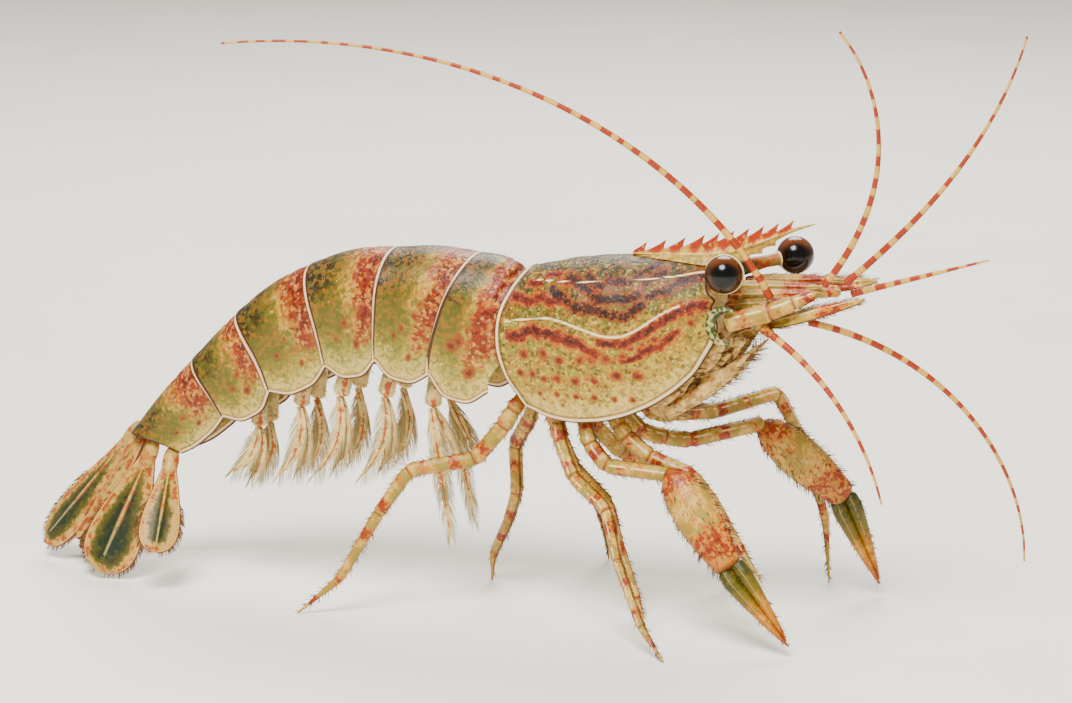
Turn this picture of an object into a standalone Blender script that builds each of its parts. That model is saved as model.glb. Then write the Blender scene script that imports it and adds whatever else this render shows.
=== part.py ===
"""Common prawn, life size, as a still display model.

The animal stands on the tips of its walking legs, head towards +X and left side towards +Y.
Every length below is in millimetres; MM turns it into Blender's metres.  X and Z run along and up
the body's middle plane, and the floor is Z = 0.  Each named body part is one closed solid, and
neighbouring solids keep GAP between them.
"""

import math

import bmesh
import bpy
from mathutils import Vector

MM = 0.001
GAP = 0.3                       # clearance between touching pieces
CENTRE_X, CENTRE_Y = -4.9, 1.2  # middle of the finished model's footprint

SHELL_WALL = 0.6                # thickness of the side plates below the belly
ARCH_STEPS = 5                  # points from the back's midline down to the widest level
FLANK_STEPS = 4                 # points from the widest level down to the plate's lower edge
WIDEST = 0.42                   # height fraction, from the top, where the trunk is widest
SHIELD_TUCK, RING_TUCK = 0.78, 0.86         # width kept at the lower edge
SHIELD_STATIONS, RING_STATIONS = 14, 5      # lengthwise steps of a plate

# ---------------------------------------------------------------- trunk, from the side, (x, z)
# Each tail seam: its depth from the back to the lower corner, its lean (degrees from +X) and how
# far it bows towards the head.
TAIL_START = (-1.5, 38.7)       # where the first seam meets the back
TAIL_SEAMS = [(13.5, -100, -1.0), (14.0, -109, -0.5), (12.3, -95, 0.0), (11.5, -75, 0.5),
              (10.0, -60, 0.9), (8.0, -55, 0.4), (7.5, -12, 0.4)]
# Each tail ring: the length and pitch of its back, how far the back crowns above that line, and
# how far its side plate hangs below its two lower corners.
TAIL_RINGS = [(5.0, 15, 0.5, 2.0), (10.0, 0, 0.5, 1.5), (10.5, -13, 0.7, 1.5),
              (11.0, -33, 0.6, 1.3), (8.0, -45, 0.15, 1.5), (13.0, -49, 0.3, 0.5)]
LOBE_FULLNESS = 0.6             # below 1 a side plate hangs squarer than an arc
RING_WIDTHS = [5.3, 5.4, 5.2, 4.7, 4.0, 3.4, 2.5]   # half widths at the seams, front to rear

# The shield's four corners, and how far each edge swells outwards from its chord.
BROW, CHEEK, NAPE, REAR_CORNER = (21.6, 40.6), (21.8, 32.6), (-0.7, 39.0), (0.4, 24.2)
BACK_CROWN, HEM_DROP, FACE_SWELL, NAPE_HOLLOW = 1.3, 4.4, 0.8, 2.6
CARAPACE_WIDTHS = [5.3, 5.9, 6.2, 6.1, 5.6, 4.8, 3.9]

BREAST_ENDS = [(-1.4, 27.7), (15.6, 28.6)]
BREAST_SAG = 1.3
BREAST_DEPTH = 1.8
BREAST_HALF_WIDTH = 2.6
KEEL_SHARE = 0.75               # the underside is this much of the breast's width

# ---------------------------------------------------------------- beak (rostrum)
BEAK_ROOT, BEAK_TIP = (11.4, 41.5), (32.0, 45.95)
BEAK_SAG = 0.3                  # how far the upper edge hangs below the straight line
BEAK_UNDER = [(28.9, 44.5), (25.1, 42.2), (21.4, 41.1), (16.5, 41.4)]
# Four wide-set teeth stand behind the eye and six closer ones ahead of it.
REAR_TEETH, REAR_TOOTH_STEP = 4, 2.2
FRONT_TEETH, FRONT_TOOTH_STEP = 6, 1.68
FIRST_TOOTH = 13.0              # x of the first tooth's point
TOOTH_RISE = 1.15
TOOTH_REACH = 1.5               # how far a tooth's point leans ahead of its root
TOOTH_HOOK = 0.25               # how far it leans ahead of its heel
BEAK_HALF_THICKNESS = 0.45

# ---------------------------------------------------------------- head
EYE_RADIUS = 2.05
EYES = {"right": (23.7, -5.5, 40.8), "left": (28.0, 5.5, 41.3)}
EYESTALKS = {"right": [(22.7, -1.2, 40.1), (23.1, -2.2, 40.4), (23.4, -3.1, 40.6)],
             "left": [(22.7, 1.4, 40.1), (24.5, 2.7, 40.6), (26.4, 4.0, 41.0)]}
STALK_RADII = [0.8, 1.05, 1.25]

ANTENNULE_STEMS = {
    "right": [(23.6, -4.4, 35.3), (28.4, -4.1, 36.8), (33.1, -2.9, 38.9)],
    "left": [(22.6, 1.5, 37.9), (28.6, 1.9, 38.0), (34.3, 2.2, 38.4)],
}
ANTENNULE_STEM_RADII = {"right": [1.05, 1.1, 1.0, 0.8, 0.55], "left": [1.0, 1.0, 0.9, 0.8, 0.6]}
ANTENNA_STEMS = {
    "right": [(23.4, -1.8, 35.6), (25.7, -1.9, 36.3), (27.9, -2.4, 37.6)],
    "left": [(23.4, 3.0, 35.0), (26.2, 3.9, 34.8), (28.9, 4.6, 34.4)],
}
ANTENNA_STEM_RADII = [1.15, 1.05, 0.85, 0.6]
SCALES = {"right": [(26.8, -2.5, 34.9), (38.7, -3.6, 38.9)],
          "left": [(23.9, 4.0, 37.6), (37.4, 5.2, 39.2)]}
SCALE_FACING = {"right": (-0.3, -0.6, 0.75), "left": (0.1, -0.8, 0.6)}
SCALE_HALF_WIDTHS = {"right": 1.05, "left": 1.2}

# Each whip: root, length, pitch at the root and at the tip, how soon it turns from one to the
# other (below 1 it turns near its root) and how far it leans to the left for each step ahead.
WHIPS = {
    "antenna_flagellum_right": ((28.3, -3.5, 38.2), 68.0, 112, 186, 0.75, -0.27),
    "antenna_flagellum_left": ((29.8, 4.8, 34.2), 39.5, -12, -94, 1.1, 0.27),
    "antennule_upper_right": ((33.9, -2.6, 39.8), 30.0, 52, 130, 1.3, -0.08),
    "antennule_lower_right": ((28.5, -3.5, 34.2), 22.0, -30, -72, 1.0, -0.14),
    "antennule_upper_left": ((35.0, 1.5, 39.4), 33.0, 43, 77, 1.5, 0.19),
    "antennule_lower_left": ((35.3, 2.5, 38.1), 15.5, 17, 17, 1.0, 0.07),
}
WHIP_STEP = 2.4
WHIP_RADII = [0.42, 0.3]
WHIP_TIP_RADIUS = 0.25

MOUTH_LINE = [(16.8, 28.0), (19.8, 30.3), (22.4, 33.2)]
MOUTH_RADII = [0.9, 1.3, 1.4, 1.0]
JAW_LEGS = {side: [(14.3, y * 1.5, 26.0), (15.8, y * 1.9, 24.6), (21.0, y * 2.0, 27.6),
                   (26.3, y * 1.7, 32.6)]
            for side, y in (("right", -1), ("left", 1))}
JAW_LEG_RADII = [0.7, 1.0, 1.05, 0.9, 0.75, 0.3]

# ---------------------------------------------------------------- legs
# Shares of a walking leg's length taken by its six segments, from the hip to the foot.
LEG_SHARES = (0.06, 0.14, 0.21, 0.17, 0.25, 0.17)
# Each walking leg: its root in the breast, its hip, the heading of the plane it bends in (degrees
# from +X), its length, and the pitch of each segment.  A standing leg's foot runs to the floor.
WALKING_LEGS = {
    "leg_5_right": ((-0.5, -1.7, 25.2), (-1.5, -3.0, 23.4), -160, 35, (-60, -50, -10, -55, -60, -40)),
    "leg_5_left": ((-0.5, 1.7, 25.2), (-2.0, 3.2, 21.0), 138, 26, (-40, -45, -95, -60, -50, -85)),
    "leg_4_right": ((1.6, -1.2, 24.9), (2.2, 0.6, 21.4), 2, 26, (-75, -65, -42, -75, -70, -70)),
    "leg_4_left": ((1.6, 1.7, 24.7), (1.2, 2.6, 21.9), 94, 32, (-55, -55, -35, -25, -50, -70)),
    "leg_3_right": ((3.8, -1.8, 24.6), (3.8, -2.9, 22.4), -34, 32, (-75, -55, -20, -70, -55, -35)),
    "leg_3_left": ((3.9, 1.8, 24.6), (4.6, 3.0, 21.8), 49, 31, (-40, -45, -25, -50, -60, -60)),
    "leg_1_right": ((9.2, -1.7, 24.6), (10.6, -2.2, 22.6), 8, 24, (-55, -40, -20, -50, -60, -55)),
    "leg_1_left": ((11.2, 1.7, 24.8), (12.9, 3.2, 22.9), 56, 41, (-5, -5, 7, -58, -70, -85)),
}
HOVERING_LEGS = ("leg_1_right",)
SOLE_TRIM = 0.3                 # a standing foot's tip, cut off level with the floor
# Each arm that carries a big claw: root, hip, heading, then the length and pitch of each segment.
ARMS = {
    "leg_2_right": ((6.4, -1.8, 24.6), (6.9, -2.9, 22.6), -8, [(2.2, -75), (3.2, -47), (7.0, 0)]),
    "leg_2_left": ((8.6, 1.8, 24.6), (11.1, 3.0, 21.0), 38, [(3.0, -20), (3.0, -10), (8.0, 10)]),
}
LEG_GIRTHS = [0.72, 0.9, 0.92, 0.88, 0.8, 0.66, 0.52, 0.28]  # radii from root to tip
ARM_GIRTHS = [0.72, 0.92, 0.9, 0.85]
KNUCKLE = 1.12                  # a joint is this much thicker than the limb beside it

CLAWS = {
    "right": {"wrist": (17.6, -4.8, 18.4), "palm": (24.6, -6.3, 9.4), "tip": (32.2, -7.4, 1.3)},
    "left": {"wrist": (22.5, 11.8, 20.5), "palm": (29.8, 17.5, 12.2), "tip": (33.7, 20.6, 1.3)},
}
CLAW_FACING = (0.30, -0.90, 0.25)
PALM_PROFILE = [(0.0, 0, 0.9), (0.1, 0, 1.75), (0.35, 0, 2.4), (0.65, 0, 2.3), (0.88, 0, 1.85),
                (1.0, 0, 1.6)]
PALM_FLATNESS = 0.72
FINGER_START = 0.75             # from the palm's end to the fingers' roots
# Each finger: (fraction of the way, distance of its middle from the claw's line, half width).
FINGERS = {
    "fixed_finger": (-1, [(0.0, 0.86, 0.7), (0.3, 0.8, 0.64), (0.65, 0.6, 0.44), (1.0, 0.2, 0.26)]),
    "moving_finger": (1, [(0.02, 0.86, 0.7), (0.3, 0.8, 0.64), (0.65, 0.6, 0.44), (0.93, 0.47, 0.26)]),
}
FINGER_FLATNESS, FINGER_SIDES = 1.15, 8

# ---------------------------------------------------------------- swimming legs and tail fan
# Each swimming leg: its root (x, z), its distance from the middle plane, then the length and
# pitch of its stem and of its longer blade.
SWIMMERETS = [
    ((-10.6, 28.2), 2.5, (5.5, -98), (14.5, -80)),
    ((-15.4, 29.2), 2.5, (6.0, -107), (9.5, -106)),
    ((-21.0, 28.8), 2.4, (6.0, -106), (9.5, -108)),
    ((-26.8, 26.8), 2.1, (5.5, -99), (8.5, -108)),
    ((-33.0, 22.4), 1.5, (4.0, -93), (6.0, -120)),
]
SWIMMERET_SPLAY = 0.9           # how far a blade's tip lies outside its stem
# Sections of a swimming leg: (share of the stem, share of the blade, half width, half thickness).
SWIMMERET_SECTIONS = [(0, 0, 0.8, 0.6), (1, 0, 1.0, 0.6), (1, 0.4, 0.95, 0.35), (1, 0.75, 0.7, 0.3),
                      (1, 1, 0.3, 0.26)]

TELSON = [(-49.2, -0.2, 15.4), (-56.2, -3.2, 3.6)]
TELSON_FACING = (-0.2, -0.8, 0.6)
TELSON_HALF_WIDTH = 1.35
# Tail blades: root, tip, the way the blade's back faces, and half its greatest width.
TAIL_BLADES = {
    "uropod_inner_left": ((-49.7, 2.0, 14.4), (-58.9, 2.6, 0.9), (-0.25, -0.75, 0.6), 2.4),
    "uropod_outer_left": ((-50.9, 1.8, 15.6), (-61.9, -0.4, 1.9), (-0.2, -0.8, 0.55), 2.7),
    "uropod_inner_right": ((-46.9, -1.9, 14.3), (-51.5, -6.6, 0.9), (0.1, -0.9, 0.35), 3.4),
    "uropod_outer_right": ((-44.0, -2.4, 13.9), (-42.2, -10.3, 5.1), (0.35, -0.6, 0.7), 2.3),
}
BLADE_HALF_THICKNESS = 0.32
RIB_SHARE, EDGE_SHARE = 1.5, 0.8    # a blade's thickness along its midrib and at its edges
TELSON_OUTLINE = [(0.0, 0.9), (0.2, 1.0), (0.6, 0.75), (0.92, 0.45), (1.0, 0.25)]
SCALE_OUTLINE = [(0.0, 0.4), (0.12, 0.8), (0.4, 1.0), (0.7, 0.8), (0.9, 0.45), (1.0, 0.22)]
BLADE_OUTLINE = [(0.0, 0.22), (0.12, 0.40), (0.35, 0.70), (0.62, 0.97), (0.82, 0.98), (0.94, 0.70),
                 (1.0, 0.30)]

# ---------------------------------------------------------------- finishes: colour, roughness
FINISHES = {
    "shell": ((0.46, 0.42, 0.17), 0.35),
    "back_shell": ((0.34, 0.33, 0.12), 0.35),
    "beak": ((0.74, 0.45, 0.20), 0.35),
    "eye": ((0.02, 0.012, 0.01), 0.08),
    "stalk": ((0.44, 0.38, 0.20), 0.4),
    "limb": ((0.66, 0.50, 0.26), 0.4),
    "claw_tip": ((0.45, 0.33, 0.12), 0.35),
    "whip": ((0.72, 0.36, 0.16), 0.45),
    "mouth": ((0.58, 0.40, 0.22), 0.5),
    "swimmeret": ((0.62, 0.47, 0.27), 0.45),
    "fan": ((0.22, 0.26, 0.16), 0.35),
}


def point(x, y, z):
    """A place on the model, from millimetres, with the footprint centred on the origin."""
    return Vector((x - CENTRE_X, y - CENTRE_Y, z)) * MM


def heading(angle):
    """A unit step in the side view, at an angle from +X."""
    return Vector((math.cos(math.radians(angle)), math.sin(math.radians(angle))))


def bowed(start, end, bow, fullness=1.0, steps=4):
    """A shallow arc from start to end that swells to the left of that way."""
    start, chord = Vector(start), Vector(end) - Vector(start)
    left = Vector((-chord.y, chord.x)).normalized()
    reach = [i / steps for i in range(steps + 1)]
    return [start + chord * t + left * bow * (4 * t * (1 - t)) ** fullness for t in reach]


def catmull(points, steps):
    """Points along a smooth curve through the given ones, steps to each stretch."""
    knots = [Vector(p) for p in points]
    ends = [2 * knots[0] - knots[1]] + knots + [2 * knots[-1] - knots[-2]]
    curve = []
    for before, start, end, after in zip(ends, ends[1:], ends[2:], ends[3:]):
        for i in range(steps):
            t = i / steps
            curve.append(0.5 * (2 * start + (end - before) * t
                                + (2 * before - 5 * start + 4 * end - after) * t ** 2
                                + (3 * start - before - 3 * end + after) * t ** 3))
    return curve + [knots[-1]]


def along(points, fraction):
    """The point at a fraction of the way along a smooth curve's knots."""
    steps = 8
    curve = catmull(points, steps)
    place = max(0.0, min(1.0, fraction)) * (len(curve) - 1)
    low = min(int(place), len(curve) - 2)
    return curve[low].lerp(curve[low + 1], place - low)


def level(values, fraction):
    """A value read between evenly spaced ones."""
    place = fraction * (len(values) - 1)
    low = min(int(place), len(values) - 2)
    return values[low] + (values[low + 1] - values[low]) * (place - low)


def add_object(name, mesh_or_curve, finish):
    """Put one named body part in the model's collection, under its empty, with its finish."""
    piece = bpy.data.objects.new(name, mesh_or_curve)
    mesh_or_curve.materials.append(bpy.data.materials[finish])
    bpy.data.collections["shrimp"].objects.link(piece)
    piece.parent = bpy.data.objects["shrimp_origin"]
    return piece


def add_mesh(name, bm, finish):
    """Turn a bmesh into a smooth-shaded body part."""
    bmesh.ops.recalc_face_normals(bm, faces=bm.faces)
    mesh = bpy.data.meshes.new(name)
    bm.to_mesh(mesh)
    bm.free()
    mesh.shade_smooth()
    return add_object(name, mesh, finish)


# ---------------------------------------------------------------- shell plates
class Patch:
    """A shell plate seen from the side: a surface stretched between four edge curves."""

    def __init__(self, back, hem, front, rear):
        self.back, self.hem, self.front, self.rear = back, hem, front, rear

    def place(self, f, q):
        """Side-view point at fraction f from front to rear and q from back to hem."""
        back, hem = along(self.back, f), along(self.hem, f)
        front, rear = along(self.front, q), along(self.rear, q)
        corners = ((1 - f) * (1 - q) * Vector(self.front[0]) + f * (1 - q) * Vector(self.rear[0])
                   + (1 - f) * q * Vector(self.front[-1]) + f * q * Vector(self.rear[-1]))
        return (1 - q) * back + q * hem + (1 - f) * front + f * rear - corners


def plate_section(patch, f, half_width, tuck, belly_step):
    """Right-hand outer and inner points of one cross-section, from the back to the hem.

    tuck is the width kept at the hem, as a part of half_width; the inner points start at
    belly_step, where the belly closes the section.
    """
    outer, inner = [], []
    for i in range(ARCH_STEPS + FLANK_STEPS + 1):
        if i <= ARCH_STEPS:
            angle = math.radians(90) * i / ARCH_STEPS
            q, y = WIDEST * (1 - math.cos(angle)), half_width * math.sin(angle)
        else:
            down = (i - ARCH_STEPS) / FLANK_STEPS
            q, y = WIDEST + (1 - WIDEST) * down, half_width * (1 - (1 - tuck) * down ** 2)
        side = patch.place(f, q)
        outer.append((side.x, y, side.y))
        if i >= belly_step:
            inner.append((side.x, y - SHELL_WALL, side.y))
    return outer, inner


def build_plate(name, patch, widths, tuck, stations, finish, belly_step=ARCH_STEPS + 2):
    """A shell plate with the flesh it covers: an arch whose sides hang below the belly."""
    length = (along(patch.back, 1) - along(patch.back, 0)).length
    trim = GAP / 2 / length
    bm = bmesh.new()
    rings = []
    for k in range(stations + 1):
        f = trim + (1 - 2 * trim) * k / stations
        outer, inner = plate_section(patch, f, level(widths, f), tuck, belly_step)
        ring = {"mid": bm.verts.new(point(outer[0][0], 0, outer[0][2]))}
        for side in (-1, 1):
            ring[side] = [bm.verts.new(point(x, side * y, z)) for x, y, z in outer[1:]]
            ring[-2 if side < 0 else 2] = [bm.verts.new(point(x, side * y, z)) for x, y, z in inner]
        rings.append(ring)
    for a, b in zip(rings, rings[1:]):
        for side in (-1, 1):
            outer_a, outer_b = [a["mid"]] + a[side], [b["mid"]] + b[side]
            strip_a, strip_b = outer_a + a[2 * side][::-1], outer_b + b[2 * side][::-1]
            for i in range(len(strip_a) - 1):
                bm.faces.new((strip_a[i], strip_a[i + 1], strip_b[i + 1], strip_b[i]))
        bm.faces.new((a[-2][0], a[2][0], b[2][0], b[-2][0]))
    for ring in (rings[0], rings[-1]):
        left, right = ring[1], ring[-1]
        bm.faces.new((ring["mid"], left[0], right[0]))
        for i in range(belly_step - 2):
            bm.faces.new((left[i], left[i + 1], right[i + 1], right[i]))
        j = belly_step - 1
        bm.faces.new((left[j - 1], left[j], ring[2][0], ring[-2][0], right[j], right[j - 1]))
        for side in (-1, 1):
            outer, inner = ring[side][j:], ring[2 * side]
            for i in range(len(inner) - 1):
                bm.faces.new((outer[i], outer[i + 1], inner[i + 1], inner[i]))
    return add_mesh(name, bm, finish)


def build_carapace():
    """The head and breast shield."""
    patch = Patch(bowed(BROW, NAPE, -BACK_CROWN), bowed(CHEEK, REAR_CORNER, HEM_DROP, steps=6),
                  bowed(BROW, CHEEK, FACE_SWELL), bowed(NAPE, REAR_CORNER, -NAPE_HOLLOW))
    build_plate("carapace", patch, CARAPACE_WIDTHS[::-1], SHIELD_TUCK, SHIELD_STATIONS, "shell")


def tail_seams():
    """The tail's seams, each from the back to the lower corner, laid out one ring behind another."""
    back, seams = Vector(TAIL_START), []
    for i, (depth, lean, bow) in enumerate(TAIL_SEAMS):
        if i > 0:
            length, pitch = TAIL_RINGS[i - 1][:2]
            back = back + heading(180 - pitch) * length
        seams.append(bowed(back, back + heading(lean) * depth, bow))
    return seams


def build_tail_rings():
    """The six rings of the tail, each between two seams."""
    seams = tail_seams()
    for i, (front, rear) in enumerate(zip(seams, seams[1:])):
        crown, lobe = TAIL_RINGS[i][2:]
        patch = Patch(bowed(front[0], rear[0], -crown), bowed(front[-1], rear[-1], lobe, LOBE_FULLNESS),
                      front, rear)
        build_plate(f"abdomen_{i + 1}", patch, RING_WIDTHS[i:i + 2], RING_TUCK, RING_STATIONS,
                    "back_shell")


def build_breast():
    """The flat underside of the breast, which carries the legs."""
    bm = bmesh.new()
    rings = []
    for top in bowed(*BREAST_ENDS, -BREAST_SAG, steps=6):
        keel = KEEL_SHARE * BREAST_HALF_WIDTH
        section = [(-BREAST_HALF_WIDTH, 0), (BREAST_HALF_WIDTH, 0), (keel, -BREAST_DEPTH),
                   (-keel, -BREAST_DEPTH)]
        rings.append([bm.verts.new(point(top.x, y, top.y + z)) for y, z in section])
    skin_rings(bm, rings)
    add_mesh("breast", bm, "mouth")


def skin_rings(bm, rings):
    """Join rings of equal size into a closed solid."""
    count = len(rings[0])
    for a, b in zip(rings, rings[1:]):
        for i in range(count):
            j = (i + 1) % count
            bm.faces.new((a[i], a[j], b[j], b[i]))
    bm.faces.new(rings[0])
    bm.faces.new(rings[-1])


# ---------------------------------------------------------------- tubes, blades and claws
def build_tube(name, route, radii, finish, steps=1):
    """A round limb or feeler along a route, its radius read between the given ones."""
    places = catmull(route, steps)
    curve = bpy.data.curves.new(name, "CURVE")
    curve.dimensions = "3D"
    curve.bevel_depth = MM
    curve.bevel_resolution = 2
    curve.use_fill_caps = True
    spline = curve.splines.new("POLY")
    spline.points.add(len(places) - 1)
    for i, (knot, place) in enumerate(zip(spline.points, places)):
        knot.co = (*point(*place), 1)
        knot.radius = level(radii, i / (len(places) - 1))
    return add_object(name, curve, finish)


def tube_to_mesh(tube):
    """Replace a tube by the same shape as a welded mesh."""
    name, finish = tube.name, tube.data.materials[0].name
    bpy.context.view_layer.update()
    evaluated = tube.evaluated_get(bpy.context.evaluated_depsgraph_get())
    mesh = bpy.data.meshes.new_from_object(evaluated)
    mesh.materials.clear()
    bpy.data.objects.remove(tube)
    bm = bmesh.new()
    bm.from_mesh(mesh)
    bmesh.ops.remove_doubles(bm, verts=bm.verts, dist=0.00001)
    bpy.data.meshes.remove(mesh)
    return name, bm, finish


def blade_frame(root, tip, facing):
    """Unit vectors along a blade, across it and out of its back."""
    forward = (Vector(tip) - Vector(root)).normalized()
    across = Vector(facing).cross(forward).normalized()
    return forward, across, forward.cross(across).normalized()


def build_blade(name, root, tip, facing, half_width, finish, outline=tuple(BLADE_OUTLINE)):
    """A thin leaf-shaped solid from root to tip, a little thicker along its midrib."""
    root, tip = Vector(root), Vector(tip)
    forward, across, out = blade_frame(root, tip, facing)
    length = (tip - root).length
    bm = bmesh.new()
    rings = []
    for reach, width in outline:
        middle, side = root + forward * length * reach, across * half_width * width
        rib = out * BLADE_HALF_THICKNESS * RIB_SHARE
        edge = out * BLADE_HALF_THICKNESS * EDGE_SHARE
        ring = [middle - side - edge, middle - rib, middle + side - edge,
                middle + side + edge, middle + rib, middle - side + edge]
        rings.append([bm.verts.new(point(*p)) for p in ring])
    skin_rings(bm, rings)
    return add_mesh(name, bm, finish)


def build_bulb(name, root, tip, facing, profile, flatness, finish, sides=10):
    """A solid with oval sections along a line; profile lists (fraction, offset, half width)."""
    root, tip = Vector(root), Vector(tip)
    forward, across, out = blade_frame(root, tip, facing)
    length = (tip - root).length
    bm = bmesh.new()
    rings = []
    for reach, offset, width in profile:
        middle = root + forward * length * reach + across * offset
        ring = []
        for i in range(sides):
            angle = 2 * math.pi * i / sides
            ring.append(middle + across * width * math.cos(angle)
                        + out * width * flatness * math.sin(angle))
        rings.append([bm.verts.new(point(*p)) for p in ring])
    skin_rings(bm, rings)
    return add_mesh(name, bm, finish)


# ---------------------------------------------------------------- head
def build_beak():
    """The toothed beak that runs forward from the back of the shield."""
    top = bowed(BEAK_ROOT, BEAK_TIP, -BEAK_SAG, steps=80)
    teeth = [FIRST_TOOTH + REAR_TOOTH_STEP * i for i in range(REAR_TEETH)]
    teeth += [teeth[-1] + FRONT_TOOTH_STEP * (i + 1) for i in range(FRONT_TEETH)]
    outline = [BEAK_ROOT]
    for tooth_x in teeth:
        base = min(top, key=lambda p: abs(p.x - tooth_x + TOOTH_REACH))
        heel = min(top, key=lambda p: abs(p.x - tooth_x + TOOTH_HOOK))
        outline += [base, (tooth_x, heel.y + TOOTH_RISE), heel]
    outline += [BEAK_TIP] + BEAK_UNDER
    curve = bpy.data.curves.new("rostrum", "CURVE")
    curve.dimensions = "2D"
    curve.fill_mode = "BOTH"
    curve.extrude = BEAK_HALF_THICKNESS * MM
    spline = curve.splines.new("POLY")
    spline.points.add(len(outline) - 1)
    spline.use_cyclic_u = True
    for knot, (x, z) in zip(spline.points, outline):
        knot.co = ((x - CENTRE_X) * MM, z * MM, 0, 1)
    beak = add_object("rostrum", curve, "beak")
    beak.rotation_euler = (math.radians(90), 0, 0)
    beak.location = (0, -CENTRE_Y * MM, 0)


def build_eyes():
    """Two round eyes, each on its stalk."""
    for side, centre in EYES.items():
        bm = bmesh.new()
        bmesh.ops.create_uvsphere(bm, u_segments=16, v_segments=10, radius=EYE_RADIUS * MM)
        eye = add_mesh(f"eye_{side}", bm, "eye")
        eye.location = point(*centre)
        build_tube(f"eyestalk_{side}", EYESTALKS[side], STALK_RADII, "stalk", 2)


def build_feelers():
    """Stems, scales and whips of the antennules and antennae."""
    for side in ("right", "left"):
        build_tube(f"antennule_peduncle_{side}", ANTENNULE_STEMS[side],
                   ANTENNULE_STEM_RADII[side], "limb", 2)
        build_tube(f"antenna_peduncle_{side}", ANTENNA_STEMS[side], ANTENNA_STEM_RADII, "limb", 2)
        root, tip = SCALES[side]
        build_blade(f"antennal_scale_{side}", root, tip, SCALE_FACING[side],
                    SCALE_HALF_WIDTHS[side], "limb", SCALE_OUTLINE)
    for name, plan in WHIPS.items():
        build_tube(name, whip_route(*plan), WHIP_RADII + [WHIP_TIP_RADIUS], "whip")


def whip_route(root, length, root_pitch, tip_pitch, turning, lean):
    """Points along a whip that turns steadily from one pitch to another."""
    steps = round(length / WHIP_STEP)
    route = [Vector(root)]
    for i in range(steps):
        pitch = root_pitch + (tip_pitch - root_pitch) * ((i + 0.5) / steps) ** turning
        ahead = heading(pitch)
        route.append(route[-1] + Vector((ahead.x, lean, ahead.y)).normalized() * length / steps)
    return route


def build_mouth():
    """The mouthparts and the pair of jaw legs that cover them."""
    build_tube("mouthparts", [(x, 0, z) for x, z in MOUTH_LINE], MOUTH_RADII, "mouth", 2)
    for side, route in JAW_LEGS.items():
        build_tube(f"maxilliped_{side}", route, JAW_LEG_RADII, "mouth", 2)


# ---------------------------------------------------------------- limbs
def leg_joints(root, hip, bearing, segments):
    """The joints of a leg that bends in one upright plane."""
    across = heading(bearing)
    joints = [Vector(root), Vector(hip)]
    for length, pitch in segments:
        ahead = heading(pitch)
        joints.append(joints[-1] + Vector((across.x * ahead.x, across.y * ahead.x, ahead.y)) * length)
    return joints


def walking_segments(name, hip, length, pitches):
    """Length and pitch of each segment of a walking leg; a standing foot runs to the floor."""
    segments = [(length * share, pitch) for share, pitch in zip(LEG_SHARES, pitches)]
    if name not in HOVERING_LEGS:
        drop = hip[2] + SOLE_TRIM + sum(reach * heading(pitch).y for reach, pitch in segments[:-1])
        segments[-1] = (-drop / heading(pitches[-1]).y, pitches[-1])
    return segments


def build_leg(name, joints, girths):
    """One leg; the foot of a standing leg is trimmed flat where it meets the floor."""
    route, radii = [joints[0]], [girths[0]]
    for i, (a, b) in enumerate(zip(joints, joints[1:]), 1):
        last = len(joints) - 1
        route += [a.lerp(b, 0.5), b]
        radii += [level(girths, (i - 0.5) / last), level(girths, i / last) * (KNUCKLE if i < last else 1)]
    tube = build_tube(name, route, radii, "limb")
    if joints[-1].z < 0:
        name, bm, finish = tube_to_mesh(tube)
        cut = bmesh.ops.bisect_plane(bm, geom=bm.verts[:] + bm.edges[:] + bm.faces[:],
                                     plane_co=(0, 0, 0), plane_no=(0, 0, -1), clear_outer=True)
        rim = [edge for edge in cut["geom_cut"] if isinstance(edge, bmesh.types.BMEdge)]
        bmesh.ops.holes_fill(bm, edges=rim, sides=0)
        add_mesh(name, bm, finish)


def build_claws():
    """The big claws: a swollen palm and two closed fingers each."""
    for side, claw in CLAWS.items():
        wrist, palm, tip = (Vector(claw[key]) for key in ("wrist", "palm", "tip"))
        build_bulb(f"claw_palm_{side}", wrist, palm, CLAW_FACING, PALM_PROFILE, PALM_FLATNESS, "limb")
        start = palm + (tip - palm).normalized() * FINGER_START
        for finger, (turn, shape) in FINGERS.items():
            profile = [(reach, turn * offset, half) for reach, offset, half in shape]
            build_bulb(f"claw_{finger}_{side}", start, tip, CLAW_FACING, profile,
                       FINGER_FLATNESS, "claw_tip", FINGER_SIDES)


def build_legs():
    """Five pairs of legs, the second pair carrying the big claws."""
    for name, (root, hip, bearing, length, pitches) in WALKING_LEGS.items():
        segments = walking_segments(name, hip, length, pitches)
        build_leg(name, leg_joints(root, hip, bearing, segments), LEG_GIRTHS)
    for name, plan in ARMS.items():
        build_leg(name, leg_joints(*plan), ARM_GIRTHS)
    build_claws()


def build_swimmerets():
    """Five pairs of swimming legs under the tail rings, each a stem and its longer blade."""
    for i, ((x, z), y, (stem_length, stem_pitch), (blade_length, blade_pitch)) in enumerate(SWIMMERETS):
        stem, blade = heading(stem_pitch) * stem_length, heading(blade_pitch) * blade_length
        ahead = Vector((-stem.y, 0, stem.x)).normalized()
        for side, turn in (("right", -1), ("left", 1)):
            bm = bmesh.new()
            rings = []
            for down, out, half, thick in SWIMMERET_SECTIONS:
                middle = Vector((x + down * stem.x + out * blade.x, turn * (y + out * SWIMMERET_SPLAY),
                                 z + down * stem.y + out * blade.y))
                ring = [middle + ahead * half * a + Vector((0, thick * b, 0))
                        for a, b in ((-1, -0.6), (0, -1), (1, -0.6), (1, 0.6), (0, 1), (-1, 0.6))]
                rings.append([bm.verts.new(point(*corner)) for corner in ring])
            skin_rings(bm, rings)
            add_mesh(f"pleopod_{i + 1}_{side}", bm, "swimmeret")


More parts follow.
